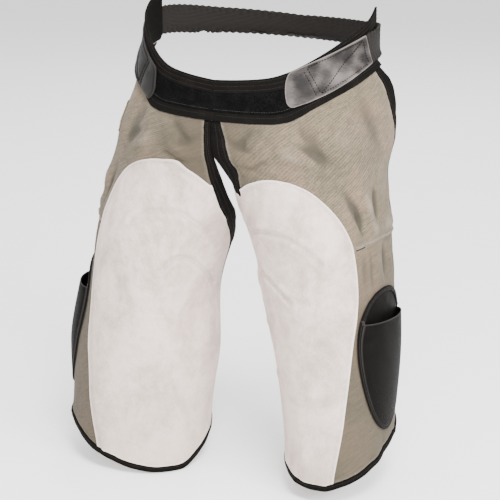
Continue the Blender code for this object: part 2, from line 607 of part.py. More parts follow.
def wall(garment, name, corners, faces_out, finish, joined=False, bulge=None):
    """A closed wall over the triangles: an inner and an outer skin, and a rim round every border."""
    corners = np.asarray(corners)
    merged = corners.copy()
    if joined:
        for i, j in garment.pairs.items():
            merged[merged == i] = j
    runs, raw_runs = [], []
    seen = {}
    for triangle, raw in zip(merged, corners):
        for k in range(3):
            turn = (k, (k + 1) % 3, (k + 2) % 3)
            key = frozenset((triangle[turn[0]], triangle[turn[1]]))
            seen.setdefault(key, []).append((tuple(triangle[list(turn)]), tuple(raw[list(turn)])))
    for found in seen.values():
        if len(found) == 1:
            runs.append(found[0][0])
            raw_runs.append(found[0][1])
    pair_of = {j: i for i, j in garment.pairs.items()} if joined else {}
    joints = set(pair_of)
    angle, z = moved_in(garment, (runs, raw_runs), joints)
    used = np.unique(merged)
    number = {v: i for i, v in enumerate(used)}
    skins = []
    for depth in faces_out:
        out = np.full(len(used), depth)
        if bulge is not None:
            out = out + bulge(angle[used], z[used])
        points = garment.place(used, angle[used], z[used], out)
        for v in used:
            if v in pair_of:
                points[number[v]] = middle_point(garment, v, pair_of[v], z[v], out[number[v]])
        skins.append(turned(points, points[:, 2]))
    count = len(used)
    faces = []
    flip = {}
    for triangle, raw in zip(merged, corners):
        ids = [number[v] for v in triangle]
        if garment.side[raw[0]] == RIGHT:
            ids = ids[::-1]
        faces.append([i + count for i in ids])
        faces.append(ids[::-1])
        for k in range(3):
            flip[ids[k], ids[(k + 1) % 3]] = True
    for a, b, _ in runs:
        a, b = number[a], number[b]
        if (a, b) not in flip:
            a, b = b, a
        faces.append([a, b, b + count])
        faces.append([a, b + count, a + count])
    make_object(name, np.concatenate(skins), faces, *finish)


def middle_point(garment, left_index, right_index, z, out):
    """A point of a joined piece on the middle plane, halfway between the two halves' surfaces."""
    found = []
    for side, index in ((LEFT, left_index), (RIGHT, right_index)):
        a = 180.0 if garment.angle[index] > 90 else float(centre_angle(side, z))
        point = cloth_point(side, np.array([a]), np.array([z]))[0]
        normal = facing(cloth_point, side, np.array([a]), np.array([z]))[0]
        found.append(point + normal * out)
    point = (found[0] + found[1]) / 2
    return np.array([0.0, point[1], point[2]])


def pouch_bulge(side):
    """How far the pouch's front stands away from the leg: most at its mouth, none at its sewn edge."""
    edge = egg(side, PIPING)

    def bulge(angle, z):
        swell = (1 + POCKET_TOP_SWELL * (z - POCKET_Z) / POCKET_HALF_HEIGHT)
        half_height = POCKET_HALF_HEIGHT - PIPING
        drop = np.clip((z - POCKET_Z) / half_height, -1, 1)
        half_width = (edge[:, 0].max() - POCKET_ANGLE[side]) * np.sqrt(1 - drop ** 2) * swell + 1e-6
        across = np.clip((angle - POCKET_ANGLE[side]) / half_width, -1, 1)
        down = np.clip((POCKET_MOUTH_Z - z) / (POCKET_MOUTH_Z - POCKET_Z + half_height), 0, 1)
        return POUCH_BULGE[side] * np.sqrt(1 - across ** 2) * (1 - down)
    return bulge


def leg_strap(name, side, finish):
    """An elastic strap across the open back of one leg, from binding to binding."""
    lines = Lines(side)
    back_edge, front_edge = lines.back_edge[::-1], lines.front_edge[::-1]
    clear = math.degrees(SEAM_GAP * 3 / float(radius(side, LEG_STRAP_Z)))
    columns = STRAP_COLUMNS
    across = np.linspace(0, 1, columns + 1)
    points, faces = [], []
    for depth in CANVAS[0], CANVAS[1] + STRAP_EXTRA:
        for edge in (-0.5, 0.5):
            height = LEG_STRAP_Z + edge * STRAP_WIDTH
            back = np.interp(height, back_edge[:, 1], back_edge[:, 0]) + clear
            front = np.interp(height, front_edge[:, 1], front_edge[:, 0]) - clear
            angles = back + across * (360 + front - back)
            z = height + STRAP_RISE * np.sin(np.pi * across)
            local = plain_point(side, angles, z) + facing(plain_point, side, angles, z) * depth
            points.extend(turned(local, z))
    count = columns + 1
    inner_low, inner_high, outer_low, outer_high = (k * count for k in range(4))
    for i in range(columns):
        j = i + 1
        for ring_of in ((outer_low, outer_high), (outer_high, inner_high), (inner_high, inner_low),
                        (inner_low, outer_low)):
            a, b = ring_of
            faces.append([a + i, a + j, b + j, b + i])
    for i, way in ((0, 1), (columns, -1)):
        faces.append([k + i for k in (outer_low, outer_high, inner_high, inner_low)][::way])
    if side == RIGHT:
        faces = [face[::-1] for face in faces]
    make_object(name, points, faces, *finish)


CANVAS_FINISH = ((0.36, 0.32, 0.26), 0.9)
SUEDE_FINISH = ((0.62, 0.58, 0.55), 0.95)
BINDING_FINISH = ((0.022, 0.020, 0.018), 0.75)
YOKE_FINISH = ((0.012, 0.012, 0.012), 0.95)
BELT_FINISH = ((0.030, 0.028, 0.027), 0.8)
TAB_FINISH = ((0.055, 0.052, 0.052), 0.45)
POCKET_FINISH = ((0.028, 0.024, 0.022), 0.5)
PATCH_FINISH = ((0.30, 0.17, 0.09), 0.6)

JOINED_PIECES = (
    ("yoke_cloth", CANVAS, YOKE_FINISH),
    ("yoke_top_band", YOKE_LAYER, BINDING_FINISH),
    ("yoke_pile", YOKE_LAYER, YOKE_FINISH),
    ("yoke_bottom_binding", YOKE_LAYER, BINDING_FINISH),
    ("back_belt", BELT_LAYER, BELT_FINISH),
)
SIDE_PIECES = (
    ("hip_panel", CANVAS, CANVAS_FINISH),
    ("shin_panel", CANVAS, CANVAS_FINISH),
    ("suede_patch", SUEDE, SUEDE_FINISH),
    ("front_binding", THICK_BINDING, BINDING_FINISH),
    ("hem_binding", THICK_BINDING, BINDING_FINISH),
    ("back_binding", THIN_BINDING, BINDING_FINISH),
    ("belt_tab", BELT_LAYER, TAB_FINISH),
    ("pocket_back", POCKET_BACK, POCKET_FINISH),
    ("pocket_piping", POCKET_PIPING, POCKET_FINISH),
    ("pocket_pouch", POUCH, POCKET_FINISH),
)


def main():
    for old in list(bpy.data.objects):
        bpy.data.objects.remove(old)
    garment = Garment()
    for name, faces_out, finish in JOINED_PIECES:
        both = np.concatenate([garment.pieces[name, side] for side in (LEFT, RIGHT)])
        wall(garment, name, both, faces_out, finish, joined=True)
    for side in (RIGHT, LEFT):
        for name, faces_out, finish in SIDE_PIECES:
            bulge = pouch_bulge(side) if name == "pocket_pouch" else None
            corners = largest_group(garment.pieces[name, side])
            wall(garment, f"{name}_{SIDE_NAMES[side]}", corners, faces_out, finish, bulge=bulge)
        leg_strap(f"leg_strap_{SIDE_NAMES[side]}", side, BELT_FINISH)
    wall(garment, "hip_patch_right", largest_group(garment.pieces["hip_patch", RIGHT]), PATCH, PATCH_FINISH)


main()
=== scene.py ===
# %% [markdown]
# # Apron chaps
# Chaps of this kind are worn over trousers by people who kneel and carry things against their thighs. A
# yoke goes round the front of the waist, two canvas legs hang from it, and a large patch of split suede
# takes the wear. We dress the fixed model of the chaps here, one sewn piece after another.

# %% The tools and the frame
import math

import bmesh
import bpy
import numpy as np
from mathutils import Matrix, Vector


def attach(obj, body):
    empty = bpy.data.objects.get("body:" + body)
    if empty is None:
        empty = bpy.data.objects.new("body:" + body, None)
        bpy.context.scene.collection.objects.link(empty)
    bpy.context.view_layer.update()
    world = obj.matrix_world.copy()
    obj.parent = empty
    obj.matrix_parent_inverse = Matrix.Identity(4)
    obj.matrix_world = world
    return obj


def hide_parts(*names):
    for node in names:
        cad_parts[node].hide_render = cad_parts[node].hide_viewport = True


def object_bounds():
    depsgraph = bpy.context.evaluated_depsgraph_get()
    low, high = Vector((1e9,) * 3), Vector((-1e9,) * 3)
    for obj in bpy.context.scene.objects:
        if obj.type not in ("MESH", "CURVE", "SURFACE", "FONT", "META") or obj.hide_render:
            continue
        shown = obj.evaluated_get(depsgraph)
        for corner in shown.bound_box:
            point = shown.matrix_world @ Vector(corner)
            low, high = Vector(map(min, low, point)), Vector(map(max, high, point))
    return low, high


TURN, MM = 2 * math.pi, 0.001
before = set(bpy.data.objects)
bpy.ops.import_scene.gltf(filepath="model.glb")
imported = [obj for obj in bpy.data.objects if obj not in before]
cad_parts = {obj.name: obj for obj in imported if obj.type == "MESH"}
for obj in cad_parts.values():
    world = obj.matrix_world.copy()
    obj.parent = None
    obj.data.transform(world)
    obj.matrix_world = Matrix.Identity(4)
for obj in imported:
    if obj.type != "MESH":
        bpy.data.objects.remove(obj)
CAD_BOX = [list(corner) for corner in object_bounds()]
print("solids in the frame:", len(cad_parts), "box", np.round(CAD_BOX, 3).tolist())

# %% [markdown]
# ## The camera
# The chaps are seen from a little above the waist and from their left front. A long lens keeps the two
# legs nearly the same size. We build the camera's own three directions from two angles, so it can be
# turned or lifted by changing one number.

# %% The camera
AZIMUTH, ELEVATION, DISTANCE = math.radians(30.1), math.radians(17.1), 2.8
FRAME_PIXELS, FOCAL_PIXELS_PER_METRE, SENSOR_WIDTH = 500, 666.67, 36
VIEW_SHIFT, VIEW_HEIGHT = 0.0012, -0.2934

to_right = Vector((math.cos(AZIMUTH), math.sin(AZIMUTH), 0))
to_camera = Vector((math.sin(AZIMUTH) * math.cos(ELEVATION), -math.cos(AZIMUTH) * math.cos(ELEVATION),
                    math.sin(ELEVATION)))
to_top = to_camera.cross(to_right)
looked_at = to_right * VIEW_SHIFT + Vector((0, 0, VIEW_HEIGHT))
camera = bpy.data.objects.new("camera", bpy.data.cameras.new("camera"))
bpy.context.scene.collection.objects.link(camera)
turn = Matrix((to_right, to_top, to_camera)).transposed().to_4x4()
camera.matrix_world = Matrix.Translation(looked_at + to_camera * DISTANCE) @ turn
camera.data.sensor_width = SENSOR_WIDTH
camera.data.lens = SENSOR_WIDTH * FOCAL_PIXELS_PER_METRE * DISTANCE / FRAME_PIXELS
bpy.context.scene.camera = camera
print("lens", round(camera.data.lens, 1), "mm from", tuple(round(x, 2) for x in camera.location))

# %% [markdown]
# ## The studio
# Work clothes are shown on a white ground under wide, soft lights. A large lamp at the upper right makes
# the light fall over the thighs and hips. Two small ones at the front and side are mirrored in the smooth
# leather, one above fills the floor, and one behind gives the edges a little light.

# %% The studio
FLOOR_SIZE, STAND_GAP, WORLD_LIGHT = 12.0, 0.001, 1.3
LAMPS = (("key", (1.5, -1.7, 2.5), 1.0, 190), ("side", (2.35, -0.95, 0.95), 0.8, 78),
         ("front", (1.0, -2.2, 0.85), 0.7, 30), ("top", (0.2, -0.2, 2.6), 1.6, 60),
         ("back", (-1.0, 2.2, 1.4), 1.4, 40))


def add_lamp(name, place, size, power):
    """A square soft lamp that faces the middle of the chaps."""
    lamp = bpy.data.objects.new(name, bpy.data.lights.new(name, "AREA"))
    lamp.data.size, lamp.data.energy = size, power
    lamp.location = place
    lamp.rotation_mode = "QUATERNION"
    lamp.rotation_quaternion = (looked_at - Vector(place)).to_track_quat("-Z", "Y")
    bpy.context.scene.collection.objects.link(lamp)


for lamp_row in LAMPS:
    add_lamp(*lamp_row)
world = bpy.data.worlds.new("studio")
bpy.context.scene.world = world
world.use_nodes = True
background = world.node_tree.nodes["Background"].inputs
background["Color"].default_value, background["Strength"].default_value = (1, 1, 1, 1), WORLD_LIGHT
floor_bm = bmesh.new()
bmesh.ops.create_grid(floor_bm, x_segments=2, y_segments=2, size=FLOOR_SIZE / 2)
bmesh.ops.translate(floor_bm, vec=(0, 0, CAD_BOX[0][2] - STAND_GAP), verts=floor_bm.verts)
floor_mesh = bpy.data.meshes.new("floor")
floor_bm.to_mesh(floor_mesh)
floor_bm.free()
floor = bpy.data.objects.new("floor", floor_mesh)
bpy.context.scene.collection.objects.link(floor)
print("lamps:", len(LAMPS), "floor at", round(CAD_BOX[0][2] - STAND_GAP, 4))

# %% [markdown]
# ## The form under the cloth
# A maker cuts flat cloth, and a body gives it its form. We describe that form once: at each height, how
# wide and how deep one half is, where its middle lies and how far the legs turn. An angle of 0 faces the
# front, and 90 is the outer side. Every piece is then drawn in angle and height, as on a paper pattern.

# %% The measured rings
RIGHT, LEFT = -1, 1
SIDE_NAMES = {RIGHT: "right", LEFT: "left"}
RING_COLUMNS = ("z", "turn", "deep", "right_out", "right_wide", "right_back", "left_out", "left_wide", "left_back")
RINGS = np.array((
    (0.080, 0.0, 0.119, 0.000, 0.1825, 0.033, 0.000, 0.179, 0.033),
    (0.020, 0.0, 0.122, 0.000, 0.1825, 0.033, 0.000, 0.179, 0.033),
    (-0.040, 0.0, 0.139, 0.000, 0.2000, 0.037, 0.000, 0.1985, 0.037),
    (-0.100, 3.8, 0.1465, 0.030, 0.177, 0.025, 0.031, 0.178, 0.024),
    (-0.170, 6.8, 0.1255, 0.080, 0.136, 0.010, 0.086, 0.119, 0.007),
    (-0.250, 8.6, 0.1155, 0.121, 0.105, -0.012, 0.118, 0.100, -0.011),
    (-0.340, 8.6, 0.1055, 0.142, 0.096, -0.026, 0.136, 0.094, -0.023),
    (-0.450, 8.6, 0.0975, 0.157, 0.110, -0.030, 0.150, 0.0855, -0.025),
    (-0.580, 8.6, 0.1005, 0.168, 0.106, -0.028, 0.158, 0.0775, -0.028)))


def smooth_value(xs, ys, x):
    """A smooth value between rows that never swings past them, and stays level beyond the ends."""
    xs, ys = np.asarray(xs, float), np.asarray(ys, float)
    gaps, rises = np.diff(xs), np.diff(ys)
    slopes = np.zeros(len(xs))
    rates = rises / gaps
    for i in range(1, len(xs) - 1):
        before, after = rates[i - 1], rates[i]
        if before * after > 0:
            w0, w1 = 2 * gaps[i] + gaps[i - 1], gaps[i] + 2 * gaps[i - 1]
            slopes[i] = (w0 + w1) / (w0 / before + w1 / after)
    x = np.clip(x, xs[0], xs[-1])
    i = np.clip(np.searchsorted(xs, x) - 1, 0, len(gaps) - 1)
    t = (x - xs[i]) / gaps[i]
    bend = slopes[i] * gaps[i], slopes[i + 1] * gaps[i]
    return (ys[i] * (1 + 2 * t) * (1 - t) ** 2 + bend[0] * t * (1 - t) ** 2
            + ys[i + 1] * t * t * (3 - 2 * t) + bend[1] * t * t * (t - 1))


def ring(name, z):
    """One measurement of the form at the heights z."""
    return smooth_value(-RINGS[:, 0], RINGS[:, RING_COLUMNS.index(name)], -np.asarray(z, float))


def radius(side, z):
    return (ring(SIDE_NAMES[side] + "_wide", z) + ring("deep", z)) / 2


print("girth of a leg at the knee:", round(TURN * float(radius(LEFT, -0.4)), 3), "m")

# %% [markdown]
# ## Folds and creases
# Stiff canvas breaks into soft folds where it is pulled or squeezed: under the yoke, beside the side
# seam, at the fork and at the hem. Each one is drawn as a soft ridge, or as a trough where its depth is
# negative, along a short line. The first table is the model's own, and the second adds the small puckers
# and creases that solids leave out. A row is a start and an end, each an angle and a height, and then a
# width and a depth, in degrees and millimetres.

# %% The folds of the model
GIRTH_RADIUS = 0.125
FOLDS = (
    (29, -78, 25, -128, 12, 3.5), (40, -66, 40, -150, 11, -3.5), (53, -50, 57, -140, 14, 3.5),
    (70, -30, 80, -120, 13, -3), (88, -30, 96, -150, 15, 3.5), (-4, -90, 10, -118, 9, -3),
    (-10, -118, 8, -132, 8, 2.5), (50, -165, 62, -225, 9, -4.5), (60, -150, 74, -220, 10, 3.5),
    (52, -229, 116, -227, 14, 5), (66, -236, 67, -200, 6, -2.5), (77, -234, 79, -180, 7, -3.5),
    (88, -235, 90, -195, 6, 2), (97, -236, 98, -185, 7, -3.5), (109, -236, 108, -195, 7, -3),
    (58, -250, 56, -310, 8, -2.5), (70, -246, 69, -300, 8, 2.2), (84, -246, 84, -300, 8, -2.5),
    (97, -248, 99, -320, 9, 2.5), (111, -250, 113, -330, 9, -2.5), (108, -360, 120, -500, 13, -3),
    (60, -540, 64, -575, 14, 2.5), (-70, -290, -20, -268, 18, -2.5), (-40, -380, 10, -350, 24, -2.5),
    (10, -430, 22, -560, 20, 2.5), (-60, -440, -45, -590, 20, -3), (-20, -500, -14, -600, 18, 2.5),
    (-100, -330, -96, -560, 18, 3))

# %% The small creases
CREASES = (
    (8, -79, 11, -104, 5, 1.2), (14, -78, 20, -112, 4.5, -1.3), (22, -78, 22, -100, 5, 1),
    (33, -72, 31, -104, 4, -1.4), (46, -57, 48, -90, 4.5, 1.2), (62, -36, 66, -70, 4.5, -1.2),
    (80, -20, 86, -60, 5, 1.2), (-5, -128, 18, -150, 5, -1.2), (-2, -104, 14, -136, 4, 1),
    (44, -182, 50, -205, 4, 1.2), (55, -238, 56, -220, 3.2, -1.2), (60, -238, 61, -214, 3.4, 1.2),
    (71, -238, 71, -216, 3.2, 1.3), (82, -237, 83, -212, 3.4, -1.3), (93, -238, 93, -214, 3.2, 1.2),
    (103, -239, 103, -214, 3.4, 1.2), (53, -247, 52, -268, 3.4, 1.1), (64, -246, 64, -270, 3.2, -1.1),
    (77, -245, 77, -266, 3.2, 1.1), (90, -245, 91, -270, 3.4, -1.2), (104, -247, 104, -272, 3.4, 1.1),
    (52, -330, 46, -372, 6, 1), (112, -400, 119, -440, 6, 1.2), (40, -500, 50, -560, 7, -1.2),
    (72, -530, 74, -560, 6, -1.4), (96, -525, 100, -548, 6, 1.2), (-30, -588, -28, -616, 7, 1),
    (-2, -580, 0, -604, 7, -1), (-44, -240, -24, -232, 8, 0.7), (-20, -330, 12, -318, 9, -0.8),
    (-86, -400, -60, -430, 9, -0.8), (-8, -450, 6, -486, 9, 0.8), (58, -100, 70, -112, 6, 0.9),
    (24, -118, 36, -136, 5, -1), (86, -86, 98, -112, 6, -1.1), (70, -150, 92, -166, 7, 1),
    (14, -79, 2, -106, 4.8, -4.6), (20, -80, 9, -112, 5.5, 2.6), (13, -121, -4, -136, 4.6, -4.2),
    (13, -112, 2, -119, 4.6, 2.6), (-8, -128, -16, -148, 4.2, -1.6), (57, -190, 60, -240, 4.5, -6),
    (78, -170, 75, -212, 6, -5.2), (103, -175, 93, -240, 4.2, 4.4), (67, -176, 69, -224, 5, 3.6),
    (88, -252, 92, -296, 4.2, 4.4), (66, -258, 64, -309, 5.2, -3.4), (81, -254, 82, -296, 5.2, -4.2),
    (36, -68, 36, -94, 4, -1.6), (-60, -330, -74, -345, 5, -1.5), (-58, -372, -74, -380, 6, 1.4),
    (-60, -410, -76, -425, 5, -1.5), (-62, -455, -76, -462, 6, 1.4), (28, -94, 46, -120, 7, -3),
    (20, -106, 42, -136, 8, 3))
FOLD_END = 0.35


def fold_height(angle, z):
    """How far the folds and creases move the cloth out at each angle and height."""
    total = np.zeros(np.shape(angle))
    u, v = np.radians(angle) * GIRTH_RADIUS, np.asarray(z, float)
    for angle_0, z_0, angle_1, z_1, width, depth in FOLDS + CREASES:
        start = np.array([math.radians(angle_0) * GIRTH_RADIUS, z_0 * MM])
        way = np.array([math.radians(angle_1) * GIRTH_RADIUS, z_1 * MM]) - start
        held = np.clip(((u - start[0]) * way[0] + (v - start[1]) * way[1]) / way.dot(way), 0, 1)
        away = np.hypot(u - start[0] - held * way[0], v - start[1] - held * way[1])
        height = FOLD_END + (1 - FOLD_END) * np.sin(np.pi * held)
        total += depth * MM * np.exp(-(away / (width * MM)) ** 2) * height
    return total


print("folds:", len(FOLDS), "creases:", len(CREASES))

# %% [markdown]
# ## From the pattern to the body
# A point of the pattern has an angle and a height. We find its place on the form, move it out by the
# folds, and then out again by the layer that its piece lies in. The outward direction comes from the
# slopes of the surface itself, so layers never cross.

# %% A point on the cloth
FLARE_ANGLE, FLARE_RUN, FLARE_HEIGHT = 88, 10, 0.0095
FLARE_RISE = ((0.002, 0), (-0.022, 1), (-0.050, 0.55), (-0.075, 0.22), (-0.100, 0.07), (-0.125, 0))
SEAM_GAP = 0.0003
TURN_STEP, RISE_STEP = 0.05, 0.0002


def flare_height(angle, z):
    """How far the back edge of the hip stands away."""
    heights, shares = zip(*FLARE_RISE)
    share = np.interp(-np.asarray(z, float), [-h for h in heights], shares)
    return FLARE_HEIGHT * share * np.clip((angle - FLARE_ANGLE) / FLARE_RUN, 0, 1.6) ** 2


def plain_point(side, angle, z):
    name, a = SIDE_NAMES[side], np.radians(angle)
    x = side * (ring(name + "_out", z) + ring(name + "_wide", z) * np.sin(a))
    y = ring(name + "_back", z) - ring("deep", z) * np.cos(a)
    return np.stack([x, y, np.asarray(z, float) + 0 * x], -1)


def facing(point, side, angle, z):
    """The outward direction of a surface at each point."""
    across = point(side, angle + TURN_STEP, z) - point(side, angle - TURN_STEP, z)
    up = point(side, angle, z + RISE_STEP) - point(side, angle, z - RISE_STEP)
    normal = side * np.cross(across, up)
    return normal / np.linalg.norm(normal, axis=-1, keepdims=True)


def cloth_point(side, angle, z):
    lift = fold_height(angle, z) + flare_height(angle, z)
    return plain_point(side, angle, z) + facing(plain_point, side, angle, z) * lift[..., None]


def turned(points):
    """The legs turn a little to one side with depth, as their wearer stands."""
    a = np.radians(ring("turn", points[..., 2]))
    x, y = points[..., 0], points[..., 1]
    return np.stack([x * np.cos(a) - y * np.sin(a), x * np.sin(a) + y * np.cos(a), points[..., 2]], -1)


def centre_angle(side, z):
    """The angle at which a half meets the middle in front."""
    name = SIDE_NAMES[side]
    return -np.degrees(np.arcsin(np.clip(ring(name + "_out", z) / ring(name + "_wide", z), 0, 1)))


def place(side, angle, z, out, smooth=False):
    """Points on one half, moved out by a depth. A smooth surface leaves the folds out."""
    surface = plain_point if smooth else cloth_point
    points = surface(side, angle, z) + facing(surface, side, angle, z) * (np.asarray(out) + 0 * z)[..., None]
    points[..., 0] = side * np.maximum(side * points[..., 0], SEAM_GAP / 2)
    return turned(points)


def place_joined(side, angle, z, out):
    """Points of a piece that crosses the middle. A side of 0 is the middle itself."""
    points = np.zeros((len(angle), 3))
    for one in (LEFT, RIGHT):
        mine = side == one
        if mine.any():
            points[mine] = place(one, angle[mine], z[mine], out[mine])
    middle = side == 0
    if middle.any():
        both = [place(one, angle[middle], z[middle], out[middle]) for one in (LEFT, RIGHT)]
        points[middle] = (both[0] + both[1]) / 2 * (0, 1, 1)
    return points


# %% [markdown]
# ## The sewn lines
# Every edge and seam is a line on the pattern: the yoke's top and bottom, the belt, the edges of the
# legs, the suede's long curve, the side seam and the pocket. A binding or a row of stitches follows a
# line at a fixed distance, so we also need a way to move a line sideways by a real width. Where the two
# halves differ, a row gives the right value and then the left one.

# %% Lines and their widths
LINE_STEP = 0.004


def running(points):
    """How far along a line each of its points is."""
    return np.r_[0, np.cumsum(np.linalg.norm(np.diff(points, axis=0), axis=1))]


def read_at(at, run, points):
    """The places on a line at the distances at, where run has its own points' distances."""
    return np.stack([np.interp(at, run, column) for column in points.T], -1)


def ringed(line):
    """A closed line with its first point again at its end."""
    return np.concatenate([line, line[:1]])


def resampled(line):
    """Points at an even step on a smooth curve through a line's own points."""
    line = np.asarray(line, float)
    run = running(line * [math.radians(1) * GIRTH_RADIUS, 1])
    at = np.linspace(0, run[-1], max(1, round(run[-1] / LINE_STEP)) + 1)
    return np.stack([smooth_value(run, line[:, 0], at), smooth_value(run, line[:, 1], at)], -1)


def evened(line, passes=6):
    """A line with its small kinks smoothed out and its ends kept."""
    line = np.array(line, float)
    for _ in range(passes):
        line[1:-1] = (line[:-2] + 2 * line[1:-1] + line[2:]) / 4
    return line


def inset(side, line, width, closed=False):
    """A line moved to its left, as it runs, by a real width on the cloth."""
    line = np.asarray(line, float)
    scale = np.radians(1) * radius(side, line[:, 1])
    way = np.roll(line, -1, 0) - np.roll(line, 1, 0)
    if not closed:
        way[0], way[-1] = line[1] - line[0], line[-1] - line[-2]
    way[:, 0] *= scale
    way /= np.linalg.norm(way, axis=1, keepdims=True)
    return line + np.stack([-way[:, 1] * width / scale, way[:, 0] * width], -1)


def inside(polygon, u, v):
    """True for each point that lies within a closed outline."""
    found = np.zeros(np.shape(u), bool)
    for (u0, v0), (u1, v1) in zip(polygon, np.roll(polygon, -1, 0)):
        if v0 != v1:
            spans = (v0 > v) != (v1 > v)
            found ^= spans & (u < u0 + (v - v0) * (u1 - u0) / (v1 - v0))
    return found


def height_on(line, angle):
    order = np.argsort(line[:, 0])
    return np.interp(angle, line[order, 0], line[order, 1])


def angle_on(line, z):
    order = np.argsort(line[:, 1])
    return np.interp(z, line[order, 1], line[order, 0])


# %% The lines of the chaps
# A row is an angle and a height. The front edge and the widths of the bindings go by height instead.
YOKE_TOP = ((0, -0.016), (12, -0.013), (25, -0.008), (34, 0), (42, 0.010), (54, 0.027), (64, 0.041), (76, 0.055),
            (88, 0.068), (98, 0.082))
YOKE_BOTTOM = ((0, -0.069), (24, -0.068), (31, -0.065), (37, -0.058), (44, -0.047), (55, -0.031), (68, -0.018),
               (83, -0.007), (98, -0.001))
YOKE_END = 98
BELT_MIDDLE = {RIGHT: ((30, -0.042), (45, -0.025), (60, -0.008), (75, 0.010), (90, 0.025), (105, 0.029), (140, 0.021),
                       (180, 0.015)),
               LEFT: ((30, -0.030), (45, -0.012), (60, 0.005), (75, 0.019), (90, 0.028), (105, 0.030), (140, 0.021),
                      (180, 0.015))}
FRONT_EDGE = (
    (-0.127, -18, -17), (-0.144, -24.5, -23), (-0.16, -32, -29.4), (-0.177, -41, -37.6), (-0.195, -51.5, -48),
    (-0.215, -65, -61), (-0.238, -80, -76.6), (-0.261, -93.5, -91), (-0.29, -107, -105.5),
    (-0.33, -117, -116.5), (-0.4, -123.5), (-0.5, -126), (-0.66, -126))
BACK_END = 133
BACK_EDGE = ((95, 0.010), (97.5, -0.027), (101, -0.050), (104, -0.075), (107.5, -0.100), (113, -0.135),
             (117, -0.170), (122, -0.240), (130, -0.340), (BACK_END, -0.450), (BACK_END, -0.660))
HEM = {RIGHT: ((-150, -0.575), (-126, -0.578), (-98, -0.591), (-80, -0.608), (-55, -0.628), (-35, -0.627),
               (-15, -0.620), (5, -0.609), (25, -0.597), (45, -0.580), (65, -0.568), (85, -0.557), (105, -0.548),
               (150, -0.540)),
       LEFT: ((-150, -0.575), (-126, -0.572), (-98, -0.580), (-80, -0.587), (-55, -0.595), (-35, -0.602),
              (-15, -0.605), (5, -0.606), (25, -0.599), (45, -0.589), (65, -0.573), (85, -0.555), (105, -0.546),
              (150, -0.538))}
SUEDE_LINE = (
    (-60, -0.2135), (-46, -0.196), (-34, -0.1785), (-22, -0.1625, -0.165), (-9, -0.1466, -0.1543),
    (6, -0.1328, -0.1468), (16, -0.1358, -0.149), (25, -0.143, -0.1588), (33, -0.156, -0.1765),
    (39, -0.175, -0.1945), (43, -0.195, -0.21), (46, -0.216, -0.2265), (48, -0.245, -0.2445), (48.5, -0.275),
    (48, -0.305), (45, -0.34), (40, -0.375), (35, -0.415), (30, -0.465), (25.5, -0.51), (21, -0.55),
    (17, -0.586), (14, -0.64))
SIDE_SEAM = ((30, -0.250), (46, -0.247), (60, -0.243), (75, -0.240), (90, -0.240), (109, -0.243), (128, -0.250))
FORK_TOP, FORK_Z, BELOW_FORK = -0.060, -0.122, -0.12
TOP_BAND, BOTTOM_BINDING, BINDING_LAP = 0.018, 0.009, 0.003
BELT_WIDTH, TAB_START, TAB_END, TAB_NOSE, TAB_LEAN = 0.045, 32, 84, 0.011, 0.35
FRONT_BINDING = (
    (0.066, 0.0075, 0.011), (0.082, 0.0075, 0.015), (0.102, 0.008, 0.0195), (0.125, 0.0095, 0.021),
    (0.14, 0.0106, 0.0152), (0.153, 0.0115, 0.0118), (0.18, 0.013, 0.012), (0.2, 0.0135, 0.013))
BACK_BINDING = ((0.060, 0.018), (0.100, 0.015), (0.140, 0.011))
HEM_BINDING, SUEDE_LAP = 0.009, 0.012
COVER_RISE, COVER_FALL = (-0.167, -0.176), (-0.245, -0.262)
POCKET_ANGLE = {RIGHT: 84, LEFT: 76.5}
POCKET_HALF_ANGLE, POCKET_Z, POCKET_HALF_HEIGHT, POCKET_TOP_SWELL = 34, -0.418, 0.108, 0.18
POCKET_MOUTH_Z, PIPING, EGG_POINTS = -0.351, 0.006, 160
PATCH_ANGLES, PATCH_HEIGHTS = (56, 74), (-0.118, -0.080)


def egg(side, shrink):
    """The pocket's outline, or one inside it by a real width."""
    t = np.linspace(0, TURN, EGG_POINTS, endpoint=False)
    half_angle = POCKET_HALF_ANGLE - math.degrees(shrink / radius(side, POCKET_Z))
    angles = POCKET_ANGLE[side] + half_angle * np.cos(t) * (1 + POCKET_TOP_SWELL * np.sin(t))
    return np.stack([angles, POCKET_Z + (POCKET_HALF_HEIGHT - shrink) * np.sin(t)], -1)


def side_table(rows, side):
    """This side's column of a table. A row has a right and a left value, or one for both."""
    return np.array([(row[0], row[1 if side == RIGHT else -1]) for row in rows], float)


